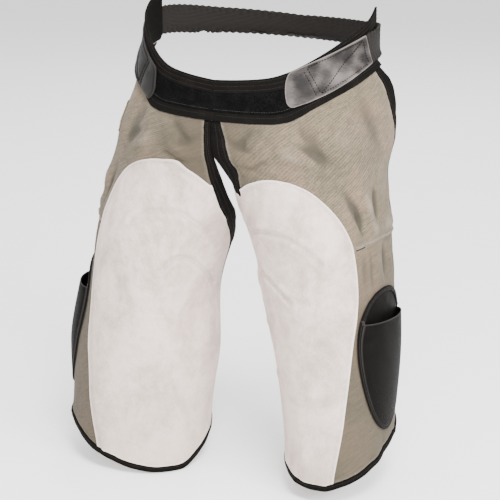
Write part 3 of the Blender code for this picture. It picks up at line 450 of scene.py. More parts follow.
class SewnLines:
    """The edges and seams of one half, as lines of angle and height."""

    def __init__(self, side):
        self.side = side
        self.yoke_top, self.yoke_bottom = resampled(YOKE_TOP), resampled(YOKE_BOTTOM)
        self.top_band = inset(side, self.yoke_top, -TOP_BAND)
        self.binding_top = inset(side, self.yoke_bottom, BOTTOM_BINDING)
        self.binding_low = inset(side, self.yoke_bottom, -BINDING_LAP)
        middle = resampled(BELT_MIDDLE[side])
        self.belt_top, self.belt_low = (inset(side, middle, share * BELT_WIDTH / 2) for share in (1, -1))
        fork_z = np.linspace(FORK_TOP, FORK_Z, 24)
        fork = np.stack([centre_angle(side, fork_z), fork_z], -1)
        self.front_edge = evened(np.concatenate([fork, resampled(side_table(FRONT_EDGE, side)[:, ::-1])]))
        self.back_edge, self.hem = resampled(BACK_EDGE), resampled(HEM[side])
        self.front_inset = self.beside_front(1.0)
        self.back_inset = inset(side, self.back_edge, -self.back_width(self.back_edge[:, 1]))
        self.hem_inset = inset(side, self.hem, HEM_BINDING)
        self.suede, self.seam = resampled(side_table(SUEDE_LINE, side)), resampled(SIDE_SEAM)
        self.suede_lap = inset(side, self.suede, -SUEDE_LAP)

    def front_width(self, z):
        """The width of the front binding at each height."""
        return np.interp(-np.asarray(z), *side_table(FRONT_BINDING, self.side).T)

    def back_width(self, z):
        return np.interp(-np.asarray(z), *zip(*BACK_BINDING))

    def beside_front(self, share):
        """The front edge moved in by a share of its binding's width."""
        return inset(self.side, self.front_edge, self.front_width(self.front_edge[:, 1]) * share)

    def covered(self, z):
        """How far the suede is turned over the front binding, on the left thigh alone."""
        rise, fall = (np.clip((high - np.asarray(z)) / (high - low), 0, 1) for high, low in (COVER_RISE, COVER_FALL))
        return (rise * (1 - fall)) ** 1.5 * (self.side == LEFT)


LINES = {side: SewnLines(side) for side in (RIGHT, LEFT)}
print("points on the left front edge:", len(LINES[LEFT].front_edge))

# %% [markdown]
# ## Sums with sockets
# A material is a small sum: ribs, plus a little noise, times wear. Nodes make long scripts, so one small
# class stands for a socket and lets us write the sum as Python does. One method makes any other node.

# %% A socket that can be added and multiplied
class Value:
    """One output of a material's nodes."""

    def __init__(self, finish, socket):
        self.finish, self.socket = finish, socket

    def maths(self, operation, *others):
        return self.finish.node("ShaderNodeMath", {"operation": operation}, dict(enumerate((self, *others))))

    def __add__(self, other):
        return self.maths("ADD", other)

    def __mul__(self, other):
        return self.maths("MULTIPLY", other)

    def __sub__(self, other):
        return self.maths("SUBTRACT", other)

    def __rsub__(self, other):
        return self.finish.node("ShaderNodeMath", {"operation": "SUBTRACT"}, {0: other, 1: self})

    __radd__, __rmul__ = __add__, __mul__

    def sine(self):
        return self.maths("SINE") * 0.5 + 0.5

    def between(self, low, high):
        """0 at low, 1 at high and a smooth step between them."""
        return self.finish.node("ShaderNodeMapRange", {"interpolation_type": "SMOOTHSTEP"},
                                {"Value": self, "From Min": low, "From Max": high})


OBJECT_PLACE, ATTRIBUTE_NUMBER = 3, 2
MIX_SHARE, MIX_FIRST, MIX_SECOND, MIX_COLOUR = 0, 6, 7, 2


class Finish:
    """A material built from named colours, patterns and heights."""

    def __init__(self, name, roughness, **fixed):
        self.material = bpy.data.materials.new(name)
        self.material.use_nodes = True
        self.tree = self.material.node_tree
        self.shader = self.tree.nodes["Principled BSDF"]
        self.shader.inputs["Roughness"].default_value = roughness
        for socket, value in fixed.items():
            self.shader.inputs[socket.replace("_", " ")].default_value = value

    def node(self, kind, settings=None, sockets=None, output=0):
        made = self.tree.nodes.new(kind)
        for name, value in (settings or {}).items():
            setattr(made, name, value)
        for key, value in (sockets or {}).items():
            self.feed(made.inputs[key], value)
        return Value(self, made.outputs[output])

    def feed(self, socket, value):
        if isinstance(value, Value):
            self.tree.links.new(value.socket, socket)
        else:
            socket.default_value = value

    def place(self):
        """Object coordinates, in metres."""
        return self.node("ShaderNodeTexCoord", output=OBJECT_PLACE)

    def pattern(self):
        """The flat pattern's own coordinates, in metres, along and across the cloth."""
        return self.node("ShaderNodeUVMap", {"uv_map": "pattern"})

    def stretched(self, vector, scale):
        return self.node("ShaderNodeMapping", sockets={"Vector": vector, "Scale": scale})

    def parts(self, vector):
        split = self.node("ShaderNodeSeparateXYZ", sockets={0: vector})
        return [Value(self, out) for out in split.socket.node.outputs]

    def noise(self, vector, size, detail=2.0, roughness=0.5, distortion=0.0):
        """Noise whose spots are about size metres across."""
        return self.node("ShaderNodeTexNoise", sockets={
            "Vector": vector, "Scale": 1 / size, "Detail": detail, "Roughness": roughness, "Distortion": distortion})

    def measured(self, name):
        """A number that the mesh carries, such as the distance to a piece's edge in metres."""
        return self.node("ShaderNodeAttribute", {"attribute_name": name}, output=ATTRIBUTE_NUMBER)

    def mixed(self, first, second, share):
        node = self.tree.nodes.new("ShaderNodeMix")
        node.data_type = "RGBA"
        for index, value in ((MIX_FIRST, first), (MIX_SECOND, second), (MIX_SHARE, share)):
            self.feed(node.inputs[index], (*value, 1) if isinstance(value, tuple) else value)
        return Value(self, node.outputs[MIX_COLOUR])

    def finish(self, colour, roughness=None, heights=()):
        """Joins the colour, the roughness and one or more (height, depth in metres) reliefs."""
        self.feed(self.shader.inputs["Base Color"], colour)
        if roughness is not None:
            self.feed(self.shader.inputs["Roughness"], roughness)
        normal = None
        for height, depth in heights:
            sockets = {"Height": height, "Distance": depth, "Strength": 1.0}
            if normal is not None:
                sockets["Normal"] = normal
            normal = self.node("ShaderNodeBump", sockets=sockets)
        if normal is not None:
            self.feed(self.shader.inputs["Normal"], normal)
        return self

# %% [markdown]
# ## Canvas
# The legs are a heavy cotton twill. Twill shows slanting ribs, and its thick yarns vary along their
# length, which is what makes it look like cloth and not like paint. The ribs run over the pattern's own
# coordinates, so they follow the cloth round the leg, and broad faded and soiled areas lie over them.
# Painted shade darkens the fold troughs, the middle by the fork and the bottom of the legs, and a
# painted highlight lightens the fold ridges.

# %% The canvas
canvas = Finish("canvas_twill", 0.92, Sheen_Weight=0.05, Sheen_Roughness=0.6, Specular_IOR_Level=0.15)
cloth_map = canvas.pattern()
along, up, _ = canvas.parts(cloth_map)
TWILL, TWILL_SLOPE = 0.0029, 0.55
rib = ((along * TWILL_SLOPE - up) * (TURN / TWILL / math.hypot(TWILL_SLOPE, 1))).sine()
slanted = canvas.node("ShaderNodeMapping", sockets={"Vector": cloth_map, "Rotation": (0, 0, -math.atan(TWILL_SLOPE))})
yarn = canvas.noise(canvas.stretched(slanted, (0.4, 1.0, 1.0)), 0.0016, detail=3)
faded = canvas.noise(canvas.place(), 0.09, detail=4, roughness=0.6)
slub = canvas.noise(canvas.stretched(slanted, (0.3, 1.6, 1.0)), 0.006, detail=3)
soil = canvas.noise(canvas.place(), 0.030, detail=5, roughness=0.65)
edge_wear = 1 - canvas.measured("edge").between(0.0, 0.006)
light = (rib * 0.15 + yarn * 0.55 + slub * 0.50 + faded * 0.50).between(0.48, 1.25)
shade_colour = canvas.mixed((0.060, 0.051, 0.035), (0.064, 0.048, 0.033), faded.between(0.4, 0.6))
bright_colour = canvas.mixed((0.202, 0.159, 0.107), (0.216, 0.158, 0.108), faded.between(0.42, 0.58))
twill_colour = canvas.mixed(shade_colour, bright_colour, light)
fold = canvas.measured("fold")
# The height gives painted shade: the canvas darkens towards the bottom of the legs.
side_way, _, height = canvas.parts(canvas.place())
# Painted shade between the thighs: the canvas darkens towards the middle, by the fork.
painted_fork_shade = 1 - side_way.maths("ABSOLUTE").between(0.020, 0.125)
# In this loop the fold troughs, the middle by the fork and the bottom of the legs get painted shade, and the fold
# ridges a painted highlight; the soil spots and the pale worn edges are real.
for tint, share in (((0.058, 0.054, 0.040), soil.between(0.52, 0.76) * 0.5),
                    ((0.042, 0.037, 0.027), (fold * -1).between(0.0003, 0.0040) * 0.85),
                    ((0.27, 0.235, 0.185), fold.between(0.0022, 0.0075) * 0.40),
                    ((0.050, 0.041, 0.028), painted_fork_shade * 0.76),
                    ((0.048, 0.039, 0.027), (height * -1).between(0.18, 0.36) * 0.64),
                    ((0.26, 0.225, 0.18), edge_wear * yarn * 0.7)):
    twill_colour = canvas.mixed(twill_colour, tint, share)
canvas.finish(twill_colour, 0.84 + yarn * 0.14, ((rib * 0.35 + yarn * 0.7, 0.00045), (soil, 0.0016)))
print("canvas nodes:", len(canvas.tree.nodes))

# %% [markdown]
# ## Suede
# The patches are split suede, which is leather without its skin. Its nap lies in drifts: the same hide is
# lighter or darker by the way the fibres were last brushed. Three sizes of noise give the drifts, the
# blotches of the tanning and the fine fibres.

# %% The suede
suede = Finish("split_suede", 0.96, Sheen_Weight=0.12, Sheen_Roughness=0.45, Specular_IOR_Level=0.1)
hide = suede.place()
drift = suede.noise(suede.stretched(hide, (1.0, 1.0, 0.6)), 0.055, detail=5, roughness=0.62, distortion=0.6)
blotch = suede.noise(hide, 0.016, detail=5, roughness=0.7)
fibre = suede.noise(suede.stretched(hide, (1.0, 1.0, 0.55)), 0.0016, detail=4, roughness=0.7)
rubbed = 1 - suede.measured("edge").between(0.0005, 0.004)
nap_light = (drift * 0.85 + blotch * 0.50 + fibre * 0.30).between(0.52, 1.10)
nap_colour = suede.mixed((0.43, 0.335, 0.292), (0.775, 0.640, 0.578), nap_light)
_, _, hide_height = suede.parts(hide)
# The hide darkens towards the bottom of the patch: painted shade. The drifts, the blotches and the lighter rubbed
# edges are the hide's own.
for tint, share in (((0.56, 0.49, 0.37), drift.between(0.54, 0.72) * 0.4),
                    ((0.36, 0.32, 0.28), blotch.between(0.58, 0.80) * 0.4),
                    ((0.44, 0.36, 0.31), (hide_height * -1).between(0.38, 0.62) * 0.28),
                    ((0.86, 0.80, 0.73), rubbed * 0.4)):
    nap_colour = suede.mixed(nap_colour, tint, share)
suede.finish(nap_colour, 0.90 + fibre * 0.08, ((fibre, 0.0008), (blotch, 0.0022)))
print("suede nodes:", len(suede.tree.nodes))

# %% [markdown]
# ## Tape, webbing and pile
# The edges are bound with a dark woven tape, the belt is ribbed elastic, and the yoke carries a black
# loop pile that the tabs grip. All three are nearly black, so their weave shows in the gloss and in the
# relief more than in the colour.

# %% The woven tape
tape = Finish("woven_tape", 0.8, Specular_IOR_Level=0.05)
tape_map = tape.pattern()
tape_along, tape_across, _ = tape.parts(tape_map)
TAPE_RIB = 0.0013
tape_rib = ((tape_along + tape_across * 0.9) * (TURN / TAPE_RIB)).sine()
herringbone = ((tape_along - tape_across * 0.9) * (TURN / TAPE_RIB)).sine()
tape_fluff = tape.noise(tape.place(), 0.002, detail=4, roughness=0.7)
tape_wear = tape.noise(tape.place(), 0.03, detail=3)
tape_light = (tape_rib * 0.35 + herringbone * 0.25 + tape_fluff * 0.45).between(0.25, 1.0)
tape_colour = tape.mixed((0.0012, 0.0011, 0.0010), (0.0085, 0.0074, 0.0066), tape_light)
tape_colour = tape.mixed(tape_colour, (0.012, 0.0095, 0.0078), tape_wear.between(0.5, 0.75) * tape_fluff * 0.5)
weave = tape_rib * 0.5 + herringbone * 0.5
tape.finish(tape_colour, 0.70 + tape_fluff * 0.22, ((weave, 0.0003), (tape_fluff, 0.0002)))

# %% The elastic webbing
webbing = Finish("ribbed_webbing", 0.75, Specular_IOR_Level=0.15)
web_map = webbing.pattern()
web_along, web_across, _ = webbing.parts(web_map)
WEB_RIB, WEB_PICK = 0.0021, 0.0011
web_rib = (web_across * (TURN / WEB_RIB)).sine()
web_pick = (web_along * (TURN / WEB_PICK)).sine()
web_fluff = webbing.noise(web_map, 0.0015, detail=3)
web_light = (web_rib * 0.5 + web_pick * 0.2 + web_fluff * 0.35).between(0.2, 1.0)
web_colour = webbing.mixed((0.0055, 0.0047, 0.0042), (0.020, 0.017, 0.015), web_light)
webbing.finish(web_colour, 0.62 + web_fluff * 0.25, ((web_rib * 0.7 + web_pick * 0.3, 0.0005),))

# %% The loop pile
pile = Finish("loop_pile", 0.95, Specular_IOR_Level=0.05)
pile_place = pile.place()
loops = pile.node("ShaderNodeTexVoronoi", {"feature": "SMOOTH_F1"}, {"Vector": pile_place, "Scale": 1 / 0.0017})
crushed = pile.noise(pile_place, 0.014, detail=4, roughness=0.6)
pile_light = ((1 - loops) * 0.5 + crushed * 0.7).between(0.45, 1.05)
pile_colour = pile.mixed((0.0008, 0.0008, 0.0008), (0.0058, 0.0058, 0.0058), pile_light)
pile.finish(pile_colour, 0.86 + crushed * 0.1, ((1 - loops, 0.0009), (crushed, 0.0010)))

# %% [markdown]
# ## Leathers
# The tabs are a smooth grey leather with a soft shine, and the pockets a darker, oiled one. Both have a
# grain of small cells, creases where they bend, and edges rubbed lighter. One function makes them all,
# because only the colours, the clouds, the grain and the gloss differ. The right tab is darkened with
# painted shade.

# %% The leathers
def leather(name, dark, light, worn, gloss, shine=0.5, grain=0.0011, wrinkled=0.0007, clouds=(0.018, 4, 0.6),
            right_painted_shade=None):
    made = Finish(name, gloss, Specular_IOR_Level=shine)
    skin = made.place()
    cells = made.node("ShaderNodeTexVoronoi", {"feature": "DISTANCE_TO_EDGE"}, {"Vector": skin, "Scale": 1 / grain})
    pores = made.noise(skin, grain * 0.7, detail=4, roughness=0.7)
    cloud_size, cloud_detail, patchy = clouds
    cloudy = made.noise(skin, cloud_size, detail=cloud_detail, roughness=0.6)
    wrinkle = made.noise(made.stretched(skin, (1.0, 1.0, 2.6)), 0.006, detail=5, roughness=0.68, distortion=0.5)
    rubbed_edge = 1 - made.measured("edge").between(0.0002, 0.0022)
    tone = ((cloudy - 0.5) * patchy + pores * 0.25 + wrinkle * 0.3).between(0.05, 0.65)
    colour = made.mixed(dark, light, tone)
    colour = made.mixed(colour, worn, rubbed_edge * (0.35 + pores * 0.5))
    # Painted shade: right of the middle the colour is darkened, so the right tab looks shaded.
    if right_painted_shade is not None:
        side_place, _, _ = made.parts(skin)
        colour = made.mixed(colour, right_painted_shade, (side_place * -1).between(-0.001, 0.001) * 0.88)
    rough = gloss - 0.08 + pores * 0.16 + cloudy * 0.08
    return made.finish(colour, rough, ((cells.between(0.0, 0.25), 0.0002), (wrinkle, wrinkled)))


tab_leather = leather("tab_leather", (0.012, 0.0104, 0.0099), (0.130, 0.112, 0.106), (0.20, 0.178, 0.169), 0.40,
                      shine=0.15, wrinkled=0.0003, clouds=(0.030, 1, 1.15), right_painted_shade=(0.0020, 0.0019, 0.0018))
pocket_leather = leather("pocket_leather", (0.0016, 0.0013, 0.0011), (0.0050, 0.0040, 0.0034),
                         (0.040, 0.036, 0.033), 0.52, shine=0.055, grain=0.0013, wrinkled=0.0003)
patch_leather = leather("patch_leather", (0.055, 0.027, 0.012), (0.11, 0.058, 0.027), (0.16, 0.10, 0.052), 0.6,
                        shine=0.3)

# %% The threads
def thread(name, dark, light):
    made = Finish(name, 0.7, Specular_IOR_Level=0.08)
    twist = made.noise(made.place(), 0.0012, detail=3)
    return made.finish(made.mixed(dark, light, twist.between(0.3, 0.7)), 0.6 + twist * 0.2, ((twist, 0.0002),))


black_thread, brown_thread, pale_thread, grey_thread, twill_thread = (
    thread(f"{name}_thread", dark, light) for name, dark, light in (
        ("black", (0.0025, 0.0022, 0.0020), (0.009, 0.008, 0.007)),
        ("brown", (0.011, 0.008, 0.006), (0.030, 0.023, 0.018)),
        ("pale", (0.42, 0.38, 0.34), (0.66, 0.61, 0.56)), ("grey", (0.020, 0.018, 0.017), (0.050, 0.047, 0.045)),
        ("twill", (0.12, 0.10, 0.08), (0.24, 0.21, 0.17))))
print("finishes:", len(bpy.data.materials))

# %% [markdown]
# ## Cutting cloth
# Cloth is cut flat, so we cut it flat too: a grid is laid over the outline, the cells outside it are
# thrown away, and the border is drawn on to the line. Only then is the piece laid on the body, with its
# flat coordinates kept as its pattern map. A Solidify modifier gives the cloth its thickness, inwards.

# %% Working on the flat pattern
SHORTEST = 1e-7


def to_flat(side, line):
    """Angle and height as metres along and up the cloth."""
    return np.stack([np.radians(line[..., 0]) * radius(side, line[..., 1]), line[..., 1]], -1)


def from_flat(side, flat):
    return np.stack([np.degrees(flat[..., 0] / radius(side, flat[..., 1])), flat[..., 1]], -1)


def nearest_on(path, points, closed=True):
    """The nearest point of a path to each point, and how far away it is."""
    starts = path if closed else path[:-1]
    ways = (np.roll(path, -1, 0) if closed else path[1:]) - (path if closed else path[:-1])
    keep = (ways ** 2).sum(1) > SHORTEST ** 2
    starts, ways = starts[keep], ways[keep]
    best = np.full(len(points), np.inf)
    found = np.zeros_like(points)
    for start, way in zip(starts, ways):
        share = np.clip(((points - start) @ way) / way.dot(way), 0, 1)
        there = start + share[:, None] * way
        away = np.hypot(*(points - there).T)
        nearer = away < best
        best[nearer], found[nearer] = away[nearer], there[nearer]
    return found, best


def flat_grid(outline, cell):
    """A grid of square cells over the box of a flat outline."""
    low, high = outline.min(0) - cell / 2, outline.max(0) + cell / 2
    count = np.ceil((high - low) / cell).astype(int)
    bm = bmesh.new()
    bmesh.ops.create_grid(bm, x_segments=int(count[0]), y_segments=int(count[1]), size=0.5)
    bmesh.ops.scale(bm, vec=(*(count * cell), 1), verts=bm.verts)
    bmesh.ops.translate(bm, vec=(*((low + high) / 2), 0), verts=bm.verts)
    return bm


def cut_out(bm, outline):
    """Throws the cells outside the outline away and draws the border on to it."""
    cells = list(bm.faces)
    middles = np.array([cell.calc_center_median()[:2] for cell in cells])
    kept = inside(outline, middles[:, 0], middles[:, 1])
    bmesh.ops.delete(bm, geom=[cell for cell, keep in zip(cells, kept) if not keep], context="FACES")
    ears = [v for v in bm.verts if len(v.link_faces) == 1 and len(v.link_edges) < 2]
    bmesh.ops.delete(bm, geom=ears, context="VERTS")
    border = [v for v in bm.verts if v.is_boundary]
    drawn, _ = nearest_on(outline, np.array([v.co[:2] for v in border]))
    for vert, point in zip(border, drawn):
        vert.co = (*point, 0)
    ring_one = {e.other_vert(v) for v in border for e in v.link_edges} - set(border)
    for _ in range(2):
        bmesh.ops.smooth_vert(bm, verts=list(ring_one), factor=0.5, use_axis_x=True, use_axis_y=True)
    return bm


# %% Showing a piece
PIECES = {}
ROUNDED_FROM, AHEAD = math.radians(50), 0.001


def show(bm, name, finish, nodes=(), thickness=0.0, edge_round=0.0):
    """Makes the piece's object, lets it ride on the model and stand for its solids."""
    mesh = bpy.data.meshes.new(name)
    bm.to_mesh(mesh)
    bm.free()
    mesh.materials.append(finish.material)
    mesh.shade_smooth()
    piece = bpy.data.objects.new(name, mesh)
    bpy.context.scene.collection.objects.link(piece)
    if thickness:
        solid = piece.modifiers.new("thickness", "SOLIDIFY")
        solid.thickness, solid.offset = thickness, -1
    if edge_round:
        rounded = piece.modifiers.new("edge", "BEVEL")
        rounded.width, rounded.segments, rounded.limit_method = edge_round, 2, "ANGLE"
        rounded.angle_limit = ROUNDED_FROM
    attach(piece, "root")
    if nodes:
        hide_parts(*nodes)
    PIECES[name] = piece
    print(name, "faces", len(mesh.polygons))
    return piece


def lay_out(bm, pattern, world, ahead):
    """Moves a flat piece on to the body, keeps its pattern map and turns its faces outwards."""
    maps = bm.loops.layers.uv.new("pattern")
    bm.verts.index_update()
    for face in bm.faces:
        for loop in face.loops:
            loop[maps].uv = pattern[loop.vert.index]
    for vert, point in zip(bm.verts, world):
        vert.co = point
    bm.normal_update()
    normals = np.array([v.normal[:] for v in bm.verts])
    if (normals * (ahead - world)).sum() < 0:
        bmesh.ops.reverse_faces(bm, faces=bm.faces[:])


def mark(bm, **numbers):
    """Gives each point of the mesh named numbers, such as its distance to the piece's edge."""
    for name, values in numbers.items():
        layer = bm.verts.layers.float.new(name)
        for vert, value in zip(bm.verts, values):
            vert[layer] = value


def total_area(bm):
    return sum(face.calc_area() for face in bm.faces)


def cut_piece(name, side, outline, out, thickness, finish, nodes, relief, cell=0.003,
              edge_round=0.0003):
    """A sheet cut to an outline of angle and height, laid on the body at a depth."""
    flat_outline = to_flat(side, outline)
    bm = cut_out(flat_grid(flat_outline, cell), flat_outline)
    flat = np.array([v.co[:2] for v in bm.verts])
    _, edge = nearest_on(flat_outline, flat)
    angle, z = from_flat(side, flat).T
    mark(bm, edge=edge, fold=fold_height(angle, z))
    depth = out + relief(side, angle, z, edge)
    lay_out(bm, flat * (side, 1), place(side, angle, z, depth), place(side, angle, z, depth + AHEAD))
    area = total_area(bm)
    piece = show(bm, name, finish, nodes, thickness, edge_round)
    size = np.ptp(flat, axis=0)
    min(area, float(size.prod()))
    return piece


# %% [markdown]
# ## Legs
# Each leg is two pieces of canvas, a hip and a shin, joined by a seam at the side. The canvas stops a
# little way under the suede, as it does on the real garment, where two full layers would be too stiff to
# bend. Fine ripples along each sewn edge come from the thread, which draws the cloth up.

# %% The canvas of the legs
CANVAS_OUT, CANVAS_THICK = 0.0012, 0.0012
UNDER_TAPE = 0.0010


def joined_line(*parts):
    """Parts of lines put end to end as one outline."""
    return np.concatenate([np.asarray(part, float).reshape(-1, 2) for part in parts])


def between(line, low=-1.0, high=1.0):
    """The part of a line whose heights lie between two."""
    return line[(line[:, 1] >= low) & (line[:, 1] <= high)]


def ripple(side, angle, z, edge):
    """Soft uneven puckers near an edge, and a slow roll over the whole cloth."""
    along_cloth = np.radians(angle) * radius(side, z)
    near = np.exp(-(edge / 0.007) ** 2)
    fine = np.sin(along_cloth * 520 + np.sin(z * 210) * 2) * np.sin(z * 470 + np.sin(along_cloth * 160) * 2)
    slow = np.sin(along_cloth * 74 + z * 31) * np.sin(z * 58 - along_cloth * 23 + side)
    return 0.00035 * near * fine + 0.0004 * slow


def hip_outline(side):
    lines = LINES[side]
    top = lines.yoke_bottom[lines.yoke_bottom[:, 0] < YOKE_END - 0.5] - (0, 0.0004)
    front = between(lines.front_inset, high=top[0, 1] - 0.001)
    lap = lines.suede_lap
    cut = angle_on(between(lines.front_inset, high=BELOW_FORK), lap[:, 1]) < lap[:, 0]
    lap = between(lap[cut], low=height_on(lines.seam, lap[cut][:, 0]).max())
    front = between(front, low=lap[0, 1])
    seam = lines.seam[lines.seam[:, 0] > lap[-1, 0]]
    back = between(lines.back_inset, low=seam[-1, 1])
    seam = seam[seam[:, 0] < angle_on(lines.back_inset, seam[-1, 1])]
    back = back[back[:, 1] < height_on(lines.binding_low, YOKE_END)]
    top = top[top[:, 0] > front[0, 0] + 0.3]
    return joined_line(front, lap, seam, back[::-1], top[::-1])


def shin_outline(side):
    lines = LINES[side]
    lap = lines.suede_lap
    lap = lap[(lap[:, 1] < height_on(lines.seam, lap[:, 0])) & (lap[:, 1] > height_on(lines.hem_inset, lap[:, 0]))]
    hem = lines.hem_inset[lines.hem_inset[:, 0] > lap[-1, 0]]
    back = between(lines.back_inset, low=height_on(lines.hem_inset, BACK_END), high=height_on(lines.seam, 122))
    hem = hem[hem[:, 0] < back[-1, 0]]
    seam = lines.seam[(lines.seam[:, 0] > lap[0, 0]) & (lines.seam[:, 0] < back[0, 0])]
    return joined_line(lap, hem, back[::-1], seam[::-1])


for side, side_name in SIDE_NAMES.items():
    for part, outline in (("hip", hip_outline), ("shin", shin_outline)):
        cut_piece(f"{part}_canvas_{side_name}", side, outline(side), CANVAS_OUT, CANVAS_THICK, canvas,
                  [f"{part}_panel_{side_name}"], ripple)

# %% [markdown]
# ## Suede patches
# Each patch runs from the inner edge of the leg over the thigh and the knee. Two rows of thread hold its
# edge down, and curved rows over the knee keep the hide from bagging. A row of stitches pulls the hide in,
# so the relief is a soft groove along each of them.

# %% The suede patches
SUEDE_OUT, SUEDE_THICK = 0.0029, 0.0014
SUEDE_ROWS = (0.0030, 0.0062)
LAP_SINK = -0.0008  # deeper grooves would push the hide through the canvas under it
KNEE_ARCS = {
    RIGHT: (((12, -0.228), (6, -0.216), (-8, -0.210), (-17, -0.210), (-35, -0.225), (-53, -0.247), (-73, -0.276)),
            ((-25, -0.301), (-31, -0.287), (-39, -0.282), (-48, -0.287), (-64, -0.306), (-84, -0.338))),
    LEFT: (((-41, -0.233), (-25, -0.226), (-9, -0.226), (8, -0.240), (20, -0.264)),
           ((-58, -0.306), (-44, -0.292), (-30, -0.299), (-12, -0.322)))}
ARC_GAP, TIP_WIDTH = 0.0040, 0.0022
KNEE_LINES = {side: [resampled(arc) for arc in KNEE_ARCS[side]] for side in (RIGHT, LEFT)}


def suede_curve(side, row=0.0):
    """The suede's long curve, or a line inside it, from the front binding to the hem."""
    lines = LINES[side]
    curve = inset(side, lines.suede, -row) if row else lines.suede
    _, away = nearest_on(to_flat(side, lines.beside_front(1.0)), to_flat(side, curve), closed=False)
    inner = curve[:, 0] > angle_on(between(lines.front_inset, high=BELOW_FORK), curve[:, 1])
    return curve[inner & (away > TIP_WIDTH) & (curve[:, 1] > height_on(lines.hem_inset, curve[:, 0]))]


def suede_outline(side):
    lines, curve = LINES[side], suede_curve(side)
    hem = lines.hem_inset[lines.hem_inset[:, 0] < curve[-1, 0]]
    edge = lines.beside_front(1 - 0.95 * lines.covered(lines.front_edge[:, 1]))
    joint, _ = nearest_on(to_flat(side, lines.front_inset), to_flat(side, curve[:1]), closed=False)
    front = edge[(edge[:, 1] < joint[0, 1] - 0.0005) & (edge[:, 1] > height_on(lines.hem_inset, edge[:, 0]))]
    hem = hem[hem[:, 0] > front[-1, 0]]
    return joined_line(front[::-1], from_flat(side, joint), curve, hem[::-1])


def suede_relief(side, angle, z, edge):
    """Grooves along the sewn rows, a soft swell between them and the roll of the hide."""
    flat = to_flat(side, np.stack([angle, z], -1))
    _, from_curve = nearest_on(to_flat(side, LINES[side].suede), flat, closed=False)
    total = 0.00045 * np.sin(flat[:, 0] * 61 + z * 25) * np.sin(z * 47 - flat[:, 0] * 19)
    for row in SUEDE_ROWS:
        total -= 0.0011 * np.exp(-((from_curve - row) / 0.0012) ** 2)
    total += 0.0006 * np.exp(-((from_curve - 0.0115) / 0.004) ** 2)
    total = np.where(from_curve < SUEDE_LAP, np.maximum(total, LAP_SINK), total)
    for arc in KNEE_LINES[side]:
        _, away = nearest_on(to_flat(side, arc), flat, closed=False)
        total -= 0.0013 * np.exp(-((away - ARC_GAP / 2) / 0.0015) ** 2)
        total += 0.0017 * np.exp(-((away - 0.0080) / 0.0045) ** 2)
    return total


for side, side_name in SIDE_NAMES.items():
    cut_piece(f"suede_{side_name}", side, suede_outline(side), SUEDE_OUT, SUEDE_THICK, suede,
              [f"suede_patch_{side_name}"], suede_relief, cell=0.0026)

# %% [markdown]
# ## Bound edges
# A binding is a tape folded over the raw edge and sewn through. We roll it from a grid: its long way
# follows the edge, and its short way goes round a flattened section. The two long sides of the grid are
# then welded and the ends are filled.

# %% A tape swept along a line
TAPE_STEP, WELD, SHEET_LEAST = 0.003, 2e-6, 0.01


def spaced_line(side, line, step, closed=False):
    """Points at an even real distance along a line, and their distances."""
    line = ringed(line) if closed else line
    run = running(to_flat(side, line))
    at = np.linspace(0, run[-1], max(2, round(run[-1] / step)) + 1)
    return read_at(at, run, line), at


def swept(name, side, line, section, finish, nodes=(), closed=False, relief=None, step=TAPE_STEP, wear=1.0):
    """A closed tape. section is (across, out) points, or a function of the distance along that gives them."""
    spots, run = spaced_line(side, line, step, closed)
    rings = [np.array(section(at) if callable(section) else section) for at in run]
    count = len(rings[0])
    stops = spots[:-1] if closed else spots
    left = inset(side, stops, 1.0, closed) - stops
    left = ringed(left) if closed else left
    bm = bmesh.new()
    bmesh.ops.create_grid(bm, x_segments=len(spots) - 1, y_segments=count, size=0.5)
    cells = np.array([(v.co.x + 0.5, v.co.y + 0.5) for v in bm.verts]) * (len(spots) - 1, count)
    station, corner = cells.round().astype(int).T
    across, out = np.array([rings[i][j % count] for i, j in zip(station, corner)]).T
    body = spots[station] + left[station] * across[:, None]
    depth = out if relief is None else out + relief(run[station], across, out)
    world = place(side, body[:, 0], body[:, 1], depth)
    mark(bm, edge=np.full(len(bm.verts), wear))
    lay_out(bm, np.stack([run[station], running(ringed(rings[0]))[corner]], -1), world, world)
    bmesh.ops.remove_doubles(bm, verts=bm.verts[:], dist=WELD)
    if not closed:
        bmesh.ops.holes_fill(bm, edges=[e for e in bm.edges if e.is_boundary], sides=0)
    bmesh.ops.recalc_face_normals(bm, faces=bm.faces[:])
    if bm.calc_volume(signed=True) < 0:
        bmesh.ops.reverse_faces(bm, faces=bm.faces[:])
    area = total_area(bm) / 2
    piece = show(bm, name, finish, nodes)
    if run[-1] >= SHEET_LEAST and area / run[-1] >= SHEET_LEAST:
        float(area / run[-1])


def folded_section(width, low, high, sign=1):
    """A tape folded over an edge that lies at 0, from just under the cloth to just over it."""
    middle, half = (low + high) / 2, (high - low) / 2
    top = ((width, 0.55), (width - 0.0005, 0.86), (width * 0.72, 1.0), (width * 0.4, 0.96), (0.0016, 0.88),
           (0.0004, 0.5))
    upper = [(a, middle + half * b) for a, b in top]
    under = [(a, middle - half * b) for a, b in reversed(top)]
    return [(sign * a, o) for a, o in upper + [(0, middle)] + under]


def puckered(row, sign=1, pitch=0.0036, depth=0.0003):
    """Small dimples between the stitches of a row, and a slight wander of the tape."""
    def relief(along_tape, across, out):
        near = np.exp(-((across * sign - row) / 0.0016) ** 2)
        pull = near * depth * (0.6 + 0.4 * np.cos(along_tape * TURN / pitch))
        wander = 0.00018 * np.sin(along_tape * 210) + 0.00014 * np.sin(along_tape * 93 + 1)
        return np.where(out > 0.001, wander - pull, wander)
    return relief


# %% The bindings of the legs
THICK_TAPE, THIN_TAPE, FLAT_TAPE = (-0.0008, 0.0036), (-0.0008, 0.0022), (-0.0002, 0.0012)
TAPE_SLOPE, FINER = 0.004, 12


def spot_on(side, line, at):
    """The angle and height at a real distance along a line."""
    spots, run = spaced_line(side, line, TAPE_STEP)
    return read_at(at, run, spots)


